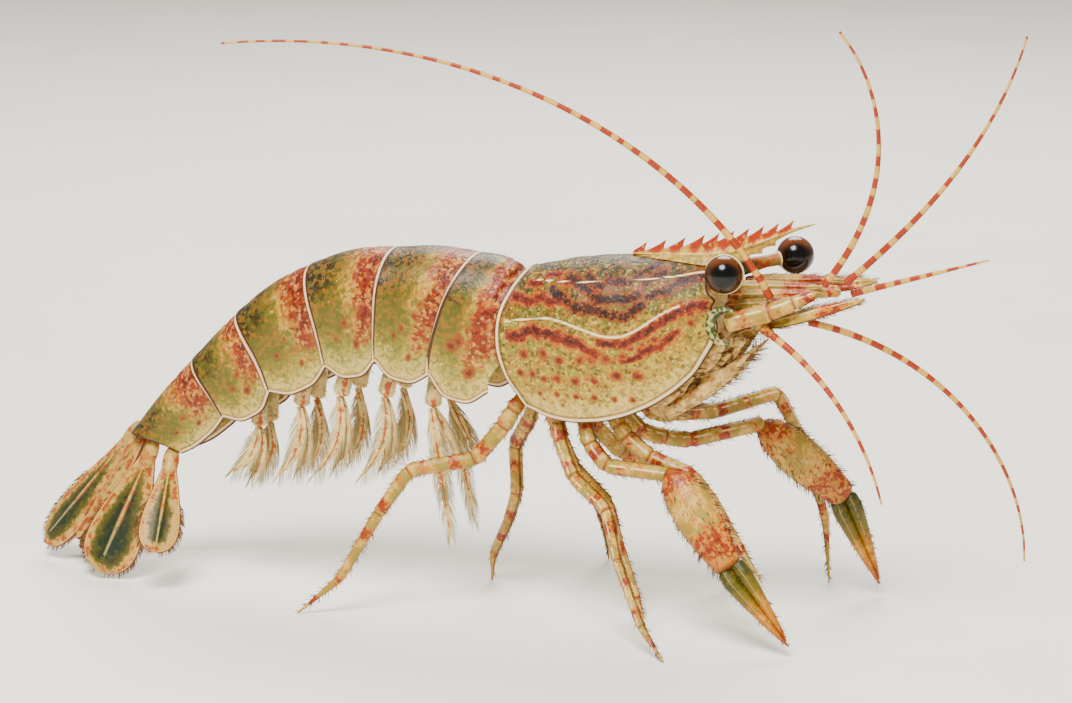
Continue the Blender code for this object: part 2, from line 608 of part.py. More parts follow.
def build_tail_fan():
    """The telson and the two pairs of tail blades."""
    build_blade("telson", *TELSON, TELSON_FACING, TELSON_HALF_WIDTH, "back_shell", TELSON_OUTLINE)
    for name, (root, tip, facing, half_width) in TAIL_BLADES.items():
        build_blade(name, root, tip, facing, half_width, "fan")


def main():
    """Clear the scene and build the animal."""
    for old in list(bpy.data.objects):
        bpy.data.objects.remove(old)
    collection = bpy.data.collections.new("shrimp")
    bpy.context.scene.collection.children.link(collection)
    collection.objects.link(bpy.data.objects.new("shrimp_origin", None))
    for name, (colour, roughness) in FINISHES.items():
        material = bpy.data.materials.new(name)
        material.use_nodes = True
        shader = material.node_tree.nodes["Principled BSDF"]
        shader.inputs["Base Color"].default_value = (*colour, 1)
        shader.inputs["Roughness"].default_value = roughness
        shader.inputs["Metallic"].default_value = 0.0
    build_carapace()
    build_tail_rings()
    build_breast()
    build_beak()
    build_eyes()
    build_feelers()
    build_mouth()
    build_legs()
    build_swimmerets()
    build_tail_fan()


main()
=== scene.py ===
"""Looks of a common prawn, life size: shell plates, head, limbs, feelers and bristles, with finishes.

Lengths are millimetres in the animal's own frame: head towards +X, left side towards +Y, floor Z = 0.
place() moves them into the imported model's frame, in metres.
"""

import logging
import math
from dataclasses import dataclass, field
from enum import Enum
from typing import Any, Iterable, Sequence, Union

import bpy
import numpy as np
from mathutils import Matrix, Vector


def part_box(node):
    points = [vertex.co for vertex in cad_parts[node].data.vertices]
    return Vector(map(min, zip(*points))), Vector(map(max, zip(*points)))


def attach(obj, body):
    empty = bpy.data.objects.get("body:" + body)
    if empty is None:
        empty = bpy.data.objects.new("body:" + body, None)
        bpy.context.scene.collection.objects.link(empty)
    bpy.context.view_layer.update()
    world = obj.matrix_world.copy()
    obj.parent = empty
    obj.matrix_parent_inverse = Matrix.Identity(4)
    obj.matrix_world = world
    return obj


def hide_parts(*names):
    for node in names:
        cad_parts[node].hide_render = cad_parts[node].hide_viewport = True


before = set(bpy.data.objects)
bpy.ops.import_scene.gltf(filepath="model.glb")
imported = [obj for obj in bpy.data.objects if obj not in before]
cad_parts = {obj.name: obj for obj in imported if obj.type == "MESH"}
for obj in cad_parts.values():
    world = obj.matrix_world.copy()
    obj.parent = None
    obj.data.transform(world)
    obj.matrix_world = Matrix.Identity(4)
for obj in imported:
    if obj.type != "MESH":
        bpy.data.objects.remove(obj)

log = logging.getLogger("prawn")

Array = np.ndarray
Numbers = Sequence[float]
Knots = Sequence[Numbers]
Socket = bpy.types.NodeSocket
Material = bpy.types.Material
Source = Union[str, Socket]

MM = 0.001
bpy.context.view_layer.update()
SIDES = {"right": -1, "left": 1}
EYES = {"right": (23.7, -5.5, 40.8), "left": (28.0, 5.5, 41.3)}
EYE_RADIUS = 2.05
# How far outside a mark its closeness is still counted, in half widths.
FAR_OFF = -3.0
SHIFT = np.mean([np.array(corner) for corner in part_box("eye_right")], axis=0) / MM - np.array(EYES["right"])


class Slot(Enum):
    """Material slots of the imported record."""

    CARAPACE = "carapace_shell"
    ABDOMEN = "abdomen_shell"
    ROSTRUM = "rostrum_shell"
    EYE = "eye_cornea"
    STALK = "eyestalk_cuticle"
    LIMB = "limb_cuticle"
    FINGER = "claw_finger_cuticle"
    FEELER = "feeler_cuticle"
    MOUTH = "mouthpart_cuticle"
    PLEOPOD = "pleopod_cuticle"
    FAN = "tail_fan_cuticle"


# ---- curves and surfaces
def place(points: Array) -> Array:
    """Moves points from the animal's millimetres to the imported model's metres."""
    return (np.asarray(points, dtype=float) + SHIFT) * MM


def unit(vectors: Array) -> Array:
    """Scales vectors to length one."""
    vectors = np.asarray(vectors, dtype=float)
    return vectors / np.maximum(np.linalg.norm(vectors, axis=-1, keepdims=True), 1e-9)


def rise(value: Union[Array, float], start: float, end: float) -> Array:
    """Goes smoothly from 0 to 1 while value goes from start to end."""
    t = np.clip((np.asarray(value, dtype=float) - start) / (end - start), 0, 1)
    return t * t * (3 - 2 * t)


def level(values: Numbers, fraction: Union[Array, float]) -> Array:
    """Reads a value between evenly spaced ones."""
    return np.interp(fraction, np.linspace(0, 1, len(values)), values)


def curve_at(knots: Knots, fraction: Array) -> Array:
    """Points on a smooth curve through knots, at fractions of the way from the first to the last.

    Args:
        knots: the points that the curve runs through.
        fraction: any array of fractions; a little below 0 or above 1 runs on past the ends.

    Returns:
        The points, with one more axis than fraction.
    """
    knots = np.asarray(knots, dtype=float)
    ends = np.vstack([2 * knots[0] - knots[1], knots, 2 * knots[-1] - knots[-2]])
    spot = np.asarray(fraction, dtype=float) * (len(knots) - 1)
    low = np.clip(spot.astype(int), 0, len(knots) - 2)
    t = (spot - low)[..., None]
    before, start, end, after = ends[low], ends[low + 1], ends[low + 2], ends[low + 3]
    return 0.5 * (2 * start + (end - before) * t + (2 * before - 5 * start + 4 * end - after) * t ** 2
                  + (3 * start - before - 3 * end + after) * t ** 3)


def heading(angle: float) -> Array:
    """A unit step in a plane, at an angle in degrees."""
    return np.array([math.cos(math.radians(angle)), math.sin(math.radians(angle))])


def bowed(start: Numbers, end: Numbers, bow: float, fullness: float = 1.0, steps: int = 4) -> Array:
    """Points along a shallow arc from start to end that swells to the left of that way.

    Args:
        start: where the arc starts.
        end: where it ends.
        bow: how far its middle lies off the straight line.
        fullness: below 1 the arc is fuller near its ends.
        steps: number of stretches that it is cut into.

    Returns:
        The points, one row each.
    """
    begin, chord = np.asarray(start, dtype=float), np.subtract(end, start)
    left = np.array([-chord[1], chord[0]]) / np.linalg.norm(chord)
    t = np.linspace(0, 1, steps + 1)[:, None]
    return begin + chord * t + left * bow * (4 * t * (1 - t)) ** fullness


def dense_curve(knots: Knots, spans: int = 40) -> Array:
    """Points along a smooth curve through knots, with some short spans from each knot to the next."""
    return curve_at(knots, np.linspace(0, 1, spans * (len(knots) - 1) + 1))


def curve_interp(knots: Knots, place: Array) -> Array:
    """Reads a smooth curve through knots that each hold a place and the value there."""
    dense = dense_curve(knots)
    return np.interp(place, dense[:, 0], dense[:, 1])


def travelled(chain: Array) -> Array:
    """How far along a chain of points each one lies."""
    return np.append(0, np.cumsum(np.linalg.norm(np.diff(chain, axis=0), axis=1)))


def at_reach(chain: Array, reach: Array) -> Array:
    """Points that lie at given distances along a chain of points."""
    return np.column_stack([np.interp(reach, travelled(chain), column) for column in chain.T])


def even_route(knots: Knots, step: float) -> tuple[Array, Array]:
    """Points a fixed step apart along a smooth curve.

    Args:
        knots: the points that the curve runs through.
        step: the distance between points.

    Returns:
        The points, and the distance to each from the start.
    """
    dense = dense_curve(knots)
    total = travelled(dense)[-1]
    reach = np.linspace(0, total, max(4, round(total / step) + 1))
    return at_reach(dense, reach), reach


def around(sides: int) -> Array:
    """Evenly spaced angles round a ring."""
    return np.linspace(0, 2 * math.pi, sides, endpoint=False)


def carry_frames(route: Array, facing: Numbers) -> tuple[Array, Array]:
    """Directions across and out of a route that twist as little as they can.

    Args:
        route: points along the route.
        facing: the way that the route's back faces at its start.

    Returns:
        Unit vectors across the route and out of its back, one of each for each point.
    """
    ahead = unit(np.gradient(route, axis=0))
    out = np.empty_like(route)
    last = np.asarray(facing, dtype=float)
    for i, forward in enumerate(ahead):
        last = unit(last - forward * (last @ forward))
        out[i] = last
    return np.cross(out, ahead), out


def sweep(route: Array, widths: Array, depths: Array, facing: Numbers, sides: int) -> Array:
    """Oval rings along a route.

    Args:
        route: points along the route.
        widths: the half width of each ring.
        depths: half of its depth.
        facing: the way that the route's back faces at its start.
        sides: points round each ring.

    Returns:
        The rings as a grid of points, one row a ring.
    """
    across, out = carry_frames(route, facing)
    turn = around(sides)
    wide = across[:, None] * (np.asarray(widths)[:, None] * np.cos(turn))[..., None]
    deep = out[:, None] * (np.asarray(depths)[:, None] * np.sin(turn))[..., None]
    return route[:, None] + wide + deep


def grid_normals(grid: Array) -> Array:
    """Unit normals of a grid of points."""
    return unit(np.cross(np.gradient(grid, axis=1), np.gradient(grid, axis=0)))


def distance_to(route: Array, points: Array) -> Array:
    """Shortest distance from each point to a chain of straight lines.

    Args:
        route: the corners of the chain, one row each.
        points: points of the same dimension, in the last axis.

    Returns:
        The distances, with the last axis gone.
    """
    nearest = np.full(points.shape[:-1], np.inf)
    for start, end in zip(route[:-1], route[1:]):
        line = end - start
        t = np.clip((points - start) @ line / max(line @ line, 1e-12), 0, 1)
        nearest = np.minimum(nearest, np.linalg.norm(points - start - t[..., None] * line, axis=-1))
    return nearest


def crowd_ends(count: int, pull: float = 0.75) -> Array:
    """Fractions from 0 to 1 that stand closer together near both ends."""
    t = np.linspace(0, 1, count)
    return t - pull * np.sin(2 * math.pi * t) / (2 * math.pi)


def fill(value: Any, shape: tuple[int, ...]) -> Array:
    """A value, or an array of them, spread over a whole shape."""
    return np.broadcast_to(np.asarray(value, dtype=float), shape)


class Skin:
    """Points, faces and per-point values of one mesh while it grows."""

    # Where a bristle's rings stand, as shares of its length, and how wide they are.
    BRISTLE_STEPS = (-0.05, 0.35, 0.72)
    BRISTLE_WIDTHS = (1.0, 0.8, 0.45)
    # How much of the unwrap the roots spread over, and the size of each bristle's patch there.
    UNWRAP_SHARE = 0.98
    PATCH = 0.003

    def __init__(self) -> None:
        """Starts with nothing."""
        self.points: list[Array] = []
        self.faces: list[Array] = []
        self.values: dict[str, list[tuple[int, Array]]] = {}
        self.unwrap: list[Array] = []
        self.count = 0

    def add(self, points: Array, faces: Iterable[Array], values: dict[str, Any]) -> None:
        """Adds points, the faces between them and their values.

        Args:
            points: one row each.
            faces: arrays of point numbers, one row a face, counted from the first of these points.
            values: numbers for the points, or one number for all of them, by name.
        """
        self.faces += [np.asarray(block) + self.count for block in faces]
        for name, value in values.items():
            self.values.setdefault(name, []).append((self.count, fill(value, (len(points),))))
        self.points.append(points)
        self.count += len(points)

    def add_grid(self, grid: Array, values: dict[str, Any]) -> None:
        """Adds a tube from rings of points, with its two ends closed by fans.

        Args:
            grid: the rings, one row of points each.
            values: numbers for the points by name, each spread over the grid.
        """
        rows, columns = grid.shape[:2]
        index = np.arange(rows * columns).reshape(rows, columns)
        turn = np.roll(index, -1, axis=1)
        faces = [np.stack([index[:-1], turn[:-1], turn[1:], index[1:]], axis=-1).reshape(-1, 4)]
        points = grid.reshape(-1, 3)
        for row, hub in ((0, len(points)), (-1, len(points) + 1)):
            fan = np.stack([index[row], turn[row], np.full(columns, hub)], axis=-1)
            faces.append(fan[:, ::-1] if row == 0 else fan)
        spread = {name: fill(value, (rows, columns)) for name, value in values.items()}
        self.add(np.vstack([points, grid[0].mean(0), grid[-1].mean(0)]), faces, {
            name: np.append(value, [value[0].mean(), value[-1].mean()]) for name, value in spread.items()})

    @classmethod
    def tube(cls, grid: Array, values: dict[str, Any]) -> "Skin":
        """A skin that holds one closed tube.

        Args:
            grid: the rings, one row of points each.
            values: numbers for the points by name.

        Returns:
            The skin.
        """
        skin = cls()
        skin.add_grid(grid, values)
        return skin

    def add_shell(self, outer: Array, inner: Array, values: dict[str, Any]) -> None:
        """Adds a thin wall between two grids of points, closed along its four edges.

        Args:
            outer: the outer side, one row of points after another.
            inner: the inner side, point for point.
            values: numbers for the points of both sides by name.
        """
        rows, columns = outer.shape[:2]
        top = np.arange(rows * columns).reshape(rows, columns)
        low = top + rows * columns

        def quads(a: Array, b: Array) -> Array:
            """Faces between two rows of points."""
            return np.stack([a[..., :-1], a[..., 1:], b[..., 1:], b[..., :-1]], axis=-1).reshape(-1, 4)

        faces = [quads(top[:-1], top[1:]), quads(low[1:], low[:-1])]
        for a, b in ((low[0], top[0]), (top[-1], low[-1]), (top[:, 0], low[:, 0]), (low[:, -1], top[:, -1])):
            faces.append(quads(a, b))
        self.add(np.vstack([outer.reshape(-1, 3), inner.reshape(-1, 3)]), faces, {
            name: np.tile(fill(value, (rows, columns)).reshape(-1), 2) for name, value in values.items()})

    def add_bristles(self, roots: Array, ahead: Array, lengths: Array, radius: float, bend: Array,
                     unwrap: Array, rng: np.random.Generator) -> None:
        """Adds three-sided bristles that taper to a point.

        Args:
            roots: where each bristle stands.
            ahead: the way each one sets out.
            lengths: the length of each.
            radius: the radius at the root.
            bend: how far each tip is carried aside, as a share of its length.
            unwrap: each root's place on an unwrap of the skin it grows from.
            rng: draws each bristle's tone.
        """
        count = len(roots)
        ahead, bend = unit(ahead), np.broadcast_to(bend, roots.shape)
        side = unit(np.cross(ahead, (0.31, 0.52, 0.8)))
        other = np.cross(ahead, side)
        angles = around(3)[:, None]
        ring = side[:, None] * np.cos(angles) + other[:, None] * np.sin(angles)
        steps, widths = np.array(self.BRISTLE_STEPS), np.array(self.BRISTLE_WIDTHS)
        long = lengths[:, None, None]
        centres = roots[:, None] + long * (ahead[:, None] * steps[:, None] + bend[:, None] * steps[:, None] ** 2)
        body = centres[:, :, None] + radius * widths[:, None, None] * ring[:, None]
        tips = roots + lengths[:, None] * (ahead + bend)
        points = np.concatenate([body.reshape(count, 9, 3), tips[:, None]], axis=1)
        walls = [(3 * r + i, 3 * r + (i + 1) % 3, 3 * r + 3 + (i + 1) % 3, 3 * r + 3 + i)
                 for r in range(2) for i in range(3)]
        ends = [(6, 7, 9), (7, 8, 9), (8, 6, 9), (2, 1, 0)]
        start = 10 * np.arange(count)[:, None, None]
        faces = [(start + np.array(walls)).reshape(-1, 4), (start + np.array(ends)).reshape(-1, 3)]
        outward = np.append(np.repeat(np.maximum(steps, 0), 3), 1)
        tone = np.repeat(rng.uniform(0, 1, count), 10)
        self.add(points.reshape(-1, 3), faces, {"tone": tone, "tip": np.tile(outward, count)})
        patch = self.PATCH * np.array([(i / 2, s) for s in outward[:9:3] for i in range(3)] + [(0.5, 1)])
        self.unwrap.append((unwrap[:, None] * self.UNWRAP_SHARE + patch).reshape(-1, 2))

    def build(self, name: str, material: Material, slot: Slot, *nodes: str) -> None:
        """Makes the object, rides it on the body and hides the CAD nodes that it stands for.

        Args:
            name: the piece's name.
            material: its finish.
            slot: the record's material slot; not used.
            nodes: CAD nodes that the piece replaces.
        """
        mesh = bpy.data.meshes.new(name)
        points = place(np.vstack(self.points))
        points[:, 2] = np.maximum(points[:, 2], 0)
        mesh.from_pydata(points.tolist(), [], [face for block in self.faces for face in block.tolist()])
        for key, parts in self.values.items():
            whole = np.zeros(self.count, dtype=np.float32)
            for start, part in parts:
                whole[start:start + len(part)] = part
            mesh.attributes.new(key, "FLOAT", "POINT").data.foreach_set("value", whole)
        if self.unwrap:
            corner_points = np.empty(len(mesh.loops), dtype=np.int32)
            mesh.loops.foreach_get("vertex_index", corner_points)
            layer = mesh.uv_layers.new(name="OFBake")
            layer.data.foreach_set("uv", np.vstack(self.unwrap)[corner_points].astype(np.float32).reshape(-1))
        mesh.materials.append(material)
        mesh.shade_smooth()
        piece = bpy.data.objects.new(name, mesh)
        bpy.context.scene.collection.objects.link(piece)
        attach(piece, "root")
        if nodes:
            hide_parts(*nodes)
        log.info("%s: %d faces", name, len(mesh.polygons))


# ---- finishes
def linear(hex_code: str) -> tuple[float, float, float, float]:
    """Turns an sRGB hex colour into linear values, with full alpha."""
    parts = [int(hex_code[i:i + 2], 16) / 255 for i in (1, 3, 5)]
    return (*[p / 12.92 if p <= 0.04045 else ((p + 0.055) / 1.055) ** 2.4 for p in parts], 1.0)


def add_node(tree: bpy.types.NodeTree, kind: str, inputs: dict[Any, Any], **settings: Any) -> bpy.types.Node:
    """Adds a shader node, sets its settings and fills or links its sockets.

    Args:
        tree: where the node goes.
        kind: the node's type, without its first word.
        inputs: a value or a socket for each input.
        **settings: its own settings.

    Returns:
        The node.
    """
    node = tree.nodes.new("ShaderNode" + kind)
    for name, value in settings.items():
        setattr(node, name, value)
    for key, value in inputs.items():
        if isinstance(value, Socket):
            tree.links.new(value, node.inputs[key])
        else:
            node.inputs[key].default_value = value
    return node


class Paint:
    """A cuticle whose colours are laid one over another, as pigment cells lie under a clear skin."""

    # Tone corrections for the view transform.
    HUE = 0.510
    SATURATION = 1.06
    DEPTH = 1.62
    # Size of a pigment cell in mm, and how far cells break up an edge, as a share of how far it wanders.
    CELL = 0.38
    CRUMBLE = 0.6
    # Refraction of cuticle, which is near water's while it is full of water.
    IOR = 1.38

    def __init__(self, name: str, ground: str) -> None:
        """Starts a material of one ground colour.

        Args:
            name: the material's name.
            ground: its hex colour.
        """
        self.material = bpy.data.materials.new(name)
        self.material.use_nodes = True
        self.tree = self.material.node_tree
        self.shader = self.tree.nodes["Principled BSDF"]
        self.colour: Any = linear(ground)
        self.spot = add_node(self.tree, "TexCoord", {}).outputs["Object"]

    def value(self, source: Source) -> Socket:
        """A socket as it is, or the mesh's per-point value of that name.

        Args:
            source: a socket or a name.

        Returns:
            The socket.
        """
        if isinstance(source, str):
            return add_node(self.tree, "Attribute", {}, attribute_name=source).outputs["Fac"]
        return source

    def ramp(self, source: Source, start: float, end: float) -> Socket:
        """A mask that goes smoothly from 0 to 1 while its source goes from start to end."""
        inputs = {"Value": self.value(source), "From Min": start, "From Max": end}
        return add_node(self.tree, "MapRange", inputs, interpolation_type="SMOOTHSTEP").outputs["Result"]

    def cloud(self, size: float) -> Socket:
        """Smooth variation whose patches are about size mm across, middling 0.5."""
        inputs = {"Vector": self.spot, "Scale": 1 / (size * MM), "Detail": 3.0, "Roughness": 0.6}
        return add_node(self.tree, "TexNoise", inputs).outputs["Fac"]

    def mottle(self, size: float, start: float, end: float) -> Socket:
        """A mask of ragged patches about size mm across; a lower start covers more."""
        return self.ramp(self.cloud(size), start, end)

    def grain(self, size: float) -> Socket:
        """A random value from 0 to 1 for each pigment cell of size mm.

        Args:
            size: of a cell, in mm.

        Returns:
            The value.
        """
        inputs = {"Vector": self.spot, "Scale": 1 / (size * MM), "Randomness": 1.0}
        cell = add_node(self.tree, "TexVoronoi", inputs).outputs["Color"]
        return add_node(self.tree, "SeparateColor", {"Color": cell}).outputs["Red"]

    def cells(self, size: float, start: float, end: float) -> Socket:
        """A mask that takes in whole pigment cells of size mm, each one or not at random."""
        return self.ramp(self.grain(size), start, end)

    def join(self, operation: str, *sources: Union[Source, float]) -> Socket:
        """Adds, multiplies or otherwise joins several values into one.

        Args:
            operation: how each value is joined to those before it.
            *sources: sockets, numbers or names of per-point values.

        Returns:
            The result.
        """
        total, *others = [source if isinstance(source, float) else self.value(source) for source in sources]
        for other in others:
            total = add_node(self.tree, "Math", {0: total, 1: other}, operation=operation).outputs["Value"]
        return total

    def ragged(self, source: Source, size: float, amount: float) -> Socket:
        """Makes the edge of a value wander over patches of some mm and from cell to cell.

        Args:
            source: the value.
            size: of the patches.
            amount: how far the edge wanders.

        Returns:
            The wandering value.
        """
        wander, crumble = (self.cloud(size), amount), (self.grain(self.CELL), amount * self.CRUMBLE)
        shifts = [add_node(self.tree, "Math", {0: noise, 1: reach, 2: -reach / 2},
                           operation="MULTIPLY_ADD").outputs["Value"] for noise, reach in (wander, crumble)]
        return self.join("ADD", source, *shifts)

    def lay(self, hex_code: str, strength: float, *masks: Union[Socket, tuple]) -> None:
        """Lays a colour where all the masks are 1.

        Args:
            hex_code: the colour.
            strength: how much of it shows where every mask is 1.
            *masks: masks, or a ramp's source, start and end.
        """
        sockets = [self.ramp(*mask) if isinstance(mask, tuple) else mask for mask in masks]
        factor = self.join("MULTIPLY", *sockets, strength)
        inputs = {0: factor, 6: self.colour, 7: linear(hex_code)}
        self.colour = add_node(self.tree, "Mix", inputs, data_type="RGBA").outputs[2]

    def finish(self, roughness: float, relief: Socket, depth: float) -> Material:
        """Gives the paint its gloss and its fine relief.

        Args:
            roughness: of the surface.
            relief: height of the fine relief, from 0 to 1.
            depth: what a height of 1 comes to, in mm.

        Returns:
            The finished material.
        """
        bump = add_node(self.tree, "Bump", {"Height": relief, "Distance": depth * MM, "Strength": 1.0})
        self.tree.links.new(bump.outputs["Normal"], self.shader.inputs["Normal"])
        rich = add_node(self.tree, "HueSaturation",
                        {"Color": self.colour, "Hue": self.HUE, "Saturation": self.SATURATION})
        deep = add_node(self.tree, "Gamma", {"Color": rich.outputs["Color"], "Gamma": self.DEPTH})
        self.tree.links.new(deep.outputs["Color"], self.shader.inputs["Base Color"])
        self.shader.inputs["Roughness"].default_value = roughness
        self.shader.inputs["IOR"].default_value = self.IOR
        return self.material


@dataclass(frozen=True)
class ShieldCuticle:
    """Chitin hardened with lime, grown as the carapace: semi-gloss, with pigment cells below the surface."""

    ground: str = "#CFAE62"
    cream: str = "#E6CD98"
    olive: str = "#7E7430"
    dark_olive: str = "#463C12"
    green: str = "#9C9C50"
    red: str = "#A2430F"
    maroon: str = "#5E2C0C"
    pale: str = "#F7E3C6"
    outline: str = "#6E4020"
    cell: float = 0.42

    def make(self) -> Material:
        """Builds the material: olive back, cream hem, red and brown rows, pale lines and rim.

        Returns:
            The finished material.
        """
        paint = Paint("calcified_cuticle_grown_shield", self.ground)
        lay = paint.lay
        back = paint.ragged("down", 1.6, 0.26)
        lay(self.green, 0.7, paint.mottle(1.5, 0.40, 0.58), (back, 0.86, 0.60))
        lay(self.cream, 0.9, (back, 0.74, 1.02))
        lay("#96984E", 0.55, paint.mottle(0.5, 0.50, 0.59), (back, 1.10, 0.85), (back, 0.55, 0.75))
        lay("#B99A4A", 0.6, paint.cells(self.cell, 0.45, 0.75), (back, 0.95, 0.7))
        lay(self.olive, 0.85, (back, 0.46, 0.22))
        lay("#A9752F", 0.7, (back, 0.40, 0.26), paint.mottle(1.8, 0.48, 0.62))
        lay(self.dark_olive, 0.9, (back, 0.26, 0.06), paint.mottle(0.9, 0.34, 0.54))
        lay("#7E7A36", 0.55, paint.cells(0.5, 0.60, 0.68), (back, 0.82, 0.5))
        lay("#C48A42", 0.6, paint.cells(0.44, 0.70, 0.76), (back, 0.95, 0.7))
        lay("#E8DC98", 0.4, paint.cells(0.27, 0.84, 0.88))
        lay("#6A5520", 0.6, paint.cells(0.30, 0.80, 0.86), (back, 1.0, 0.7))
        spot = paint.ragged("spots", 0.35, 0.7)
        lay("#C07A36", 0.85, (spot, -0.30, 0.10))
        lay(self.red, 0.85, (spot, 0.10, 0.45))
        lay("#6A3A14", 0.7, (spot, 0.50, 0.85))
        row = paint.ragged("red_rows", 0.45, 1.1)
        lay("#CC8038", 0.75, (row, -0.55, -0.1))
        lay(self.red, 0.95, (row, -0.05, 0.25))
        lay("#8A3410", 0.85, (row, 0.25, 0.6), paint.cells(0.4, 0.50, 0.56))
        lay("#5A2408", 0.8, (row, 0.45, 0.8), paint.mottle(0.5, 0.44, 0.52))
        dark = paint.ragged("dark_rows", 0.45, 1.1)
        lay("#A8602A", 0.8, (dark, -0.55, -0.1))
        lay(self.maroon, 0.92, (dark, -0.05, 0.3), paint.mottle(0.35, 0.34, 0.5))
        lay("#3E2A10", 0.8, (dark, 0.3, 0.6), paint.cells(0.4, 0.55, 0.60))
        lay("#4E3C12", 0.75, paint.mottle(0.2, 0.64, 0.69), (back, 1.1, 0.8))
        # Near-white flecks on the upper part of the shield: painted glints of the light from above.
        lay("#FDF4E2", 0.85, paint.mottle(0.22, 0.69, 0.73), ("down", 0.80, 0.4))
        lay(self.pale, 0.95, ("pale_lines", -0.1, 0.35))
        beaded = paint.join("MAXIMUM", paint.ramp("ahead", 0.06, 0.14), paint.ramp("down", 0.52, 0.66))
        lay(self.outline, 0.55, ("rim", 0.82, 0.66), beaded)
        lay(self.pale, 0.95, ("rim", 0.60, 0.44), beaded)
        lay(self.outline, 0.95, ("rim", 0.26, 0.15))
        pits = paint.join("ADD", paint.cloud(0.3), paint.cloud(1.2))
        return paint.finish(0.48, pits, 0.07)


@dataclass(frozen=True)
class RingCuticle:
    """Chitin hardened with lime, grown as the tail's rings: olive behind, red and cream in front."""

    ground: str = "#D2B46C"
    cream: str = "#E4CB96"
    olive: str = "#86792F"
    dark_olive: str = "#4A3D12"
    green: str = "#9C9C50"
    red: str = "#A5450F"
    salmon: str = "#CC8A4A"
    pale: str = "#F6DEC2"
    outline: str = "#6E4020"

    def make(self) -> Material:
        """Builds the material from the place along, down and round each ring.

        Returns:
            The finished material.
        """
        paint = Paint("calcified_cuticle_grown_ring", self.ground)
        lay = paint.lay
        down = paint.ragged("down", 1.4, 0.22)
        ahead = paint.ragged("ahead", 1.1, 0.26)
        lay(self.green, 0.7, (down, 0.30, 0.50), paint.mottle(1.4, 0.38, 0.55))
        lay(self.olive, 0.9, (ahead, 0.40, 0.60), (down, 0.84, 0.55))
        lay(self.dark_olive, 0.92, (ahead, 0.55, 0.80), (down, 0.50, 0.15), paint.mottle(0.9, 0.28, 0.48))
        lay(self.dark_olive, 0.75, (down, 0.15, 0.03), paint.mottle(1.0, 0.38, 0.56))
        lay("#B5873A", 0.6, paint.cells(0.45, 0.55, 0.63), (down, 0.85, 0.55))
        lay("#7C7A38", 0.6, paint.cells(0.5, 0.72, 0.78), (down, 0.9, 0.6))
        lay(self.salmon, 0.75, (ahead, 0.50, 0.26), (down, 0.80, 0.6))
        lay(self.red, 0.92, (ahead, 0.46, 0.26), (down, 0.84, 0.58), paint.mottle(1.0, 0.40, 0.50))
        lay("#7A2E0E", 0.8, (ahead, 0.44, 0.2), (down, 0.75, 0.4), paint.cells(0.4, 0.66, 0.72))
        lay("#F0D6A6", 0.4, (ahead, 0.50, 0.30), paint.cells(0.36, 0.84, 0.89))
        lay(self.cream, 0.85, (down, 0.74, 0.98))
        lay("#8A8C4A", 0.55, paint.mottle(0.45, 0.51, 0.60), (down, 1.15, 0.85), (down, 0.55, 0.75))
        spot = paint.ragged("spots", 0.35, 0.7)
        lay("#B06A2C", 0.9, (spot, -0.25, 0.15))
        lay("#7A3A14", 0.7, (spot, 0.3, 0.7))
        lay("#54401A", 0.8, paint.mottle(0.2, 0.64, 0.69), (down, 0.35, 0.6))
        # Near-white flecks on the upper part of each ring: painted glints of the light from above.
        lay("#FDF4E2", 0.85, paint.mottle(0.22, 0.69, 0.73), ("down", 0.6, 0.25))
        lay(self.outline, 0.6, ("front_edge", 0.98, 0.84))
        lay(self.pale, 0.9, ("front_edge", 0.80, 0.68))
        lay(self.outline, 0.45, ("hem_edge", 0.66, 0.54))
        lay(self.pale, 0.9, ("hem_edge", 0.50, 0.36))
        lay(self.outline, 0.95, ("hem_edge", 0.24, 0.14))
        lay(self.outline, 0.95, ("rear_edge", 0.36, 0.20))
        pits = paint.join("ADD", paint.cloud(0.3), paint.cloud(1.2))
        return paint.finish(0.40, pits, 0.07)


@dataclass(frozen=True)
class BeakCuticle:
    """Chitin hardened with lime, grown as the toothed beak: cream blade with orange-red teeth."""

    ground: str = "#D9B870"
    red: str = "#C04C1C"
    dark: str = "#5A2C10"

    def make(self) -> Material:
        """Builds the material from the height up the blade and the nearness to a tooth.

        Returns:
            The finished material.
        """
        paint = Paint("calcified_cuticle_grown_beak", self.ground)
        lay = paint.lay
        lay("#A39A4C", 0.6, paint.mottle(1.2, 0.48, 0.60), ("down", 0.35, 0.7))
        lay("#F4E2B4", 0.85, ("ridge", 0.55, 0.95))
        lay("#D28A48", 0.8, (paint.ragged("blot", 0.5, 0.6), -0.35, 0.1))
        lay(self.red, 0.95, (paint.ragged("blot", 0.5, 0.5), 0.0, 0.3))
        lay("#E8D49A", 0.5, paint.cells(0.35, 0.80, 0.86))
        lay("#9A6A38", 0.35, paint.cells(0.3, 0.70, 0.76))
        lay(self.dark, 0.85, ("margin", 0.5, 0.95))
        return paint.finish(0.40, paint.cloud(0.35), 0.05)


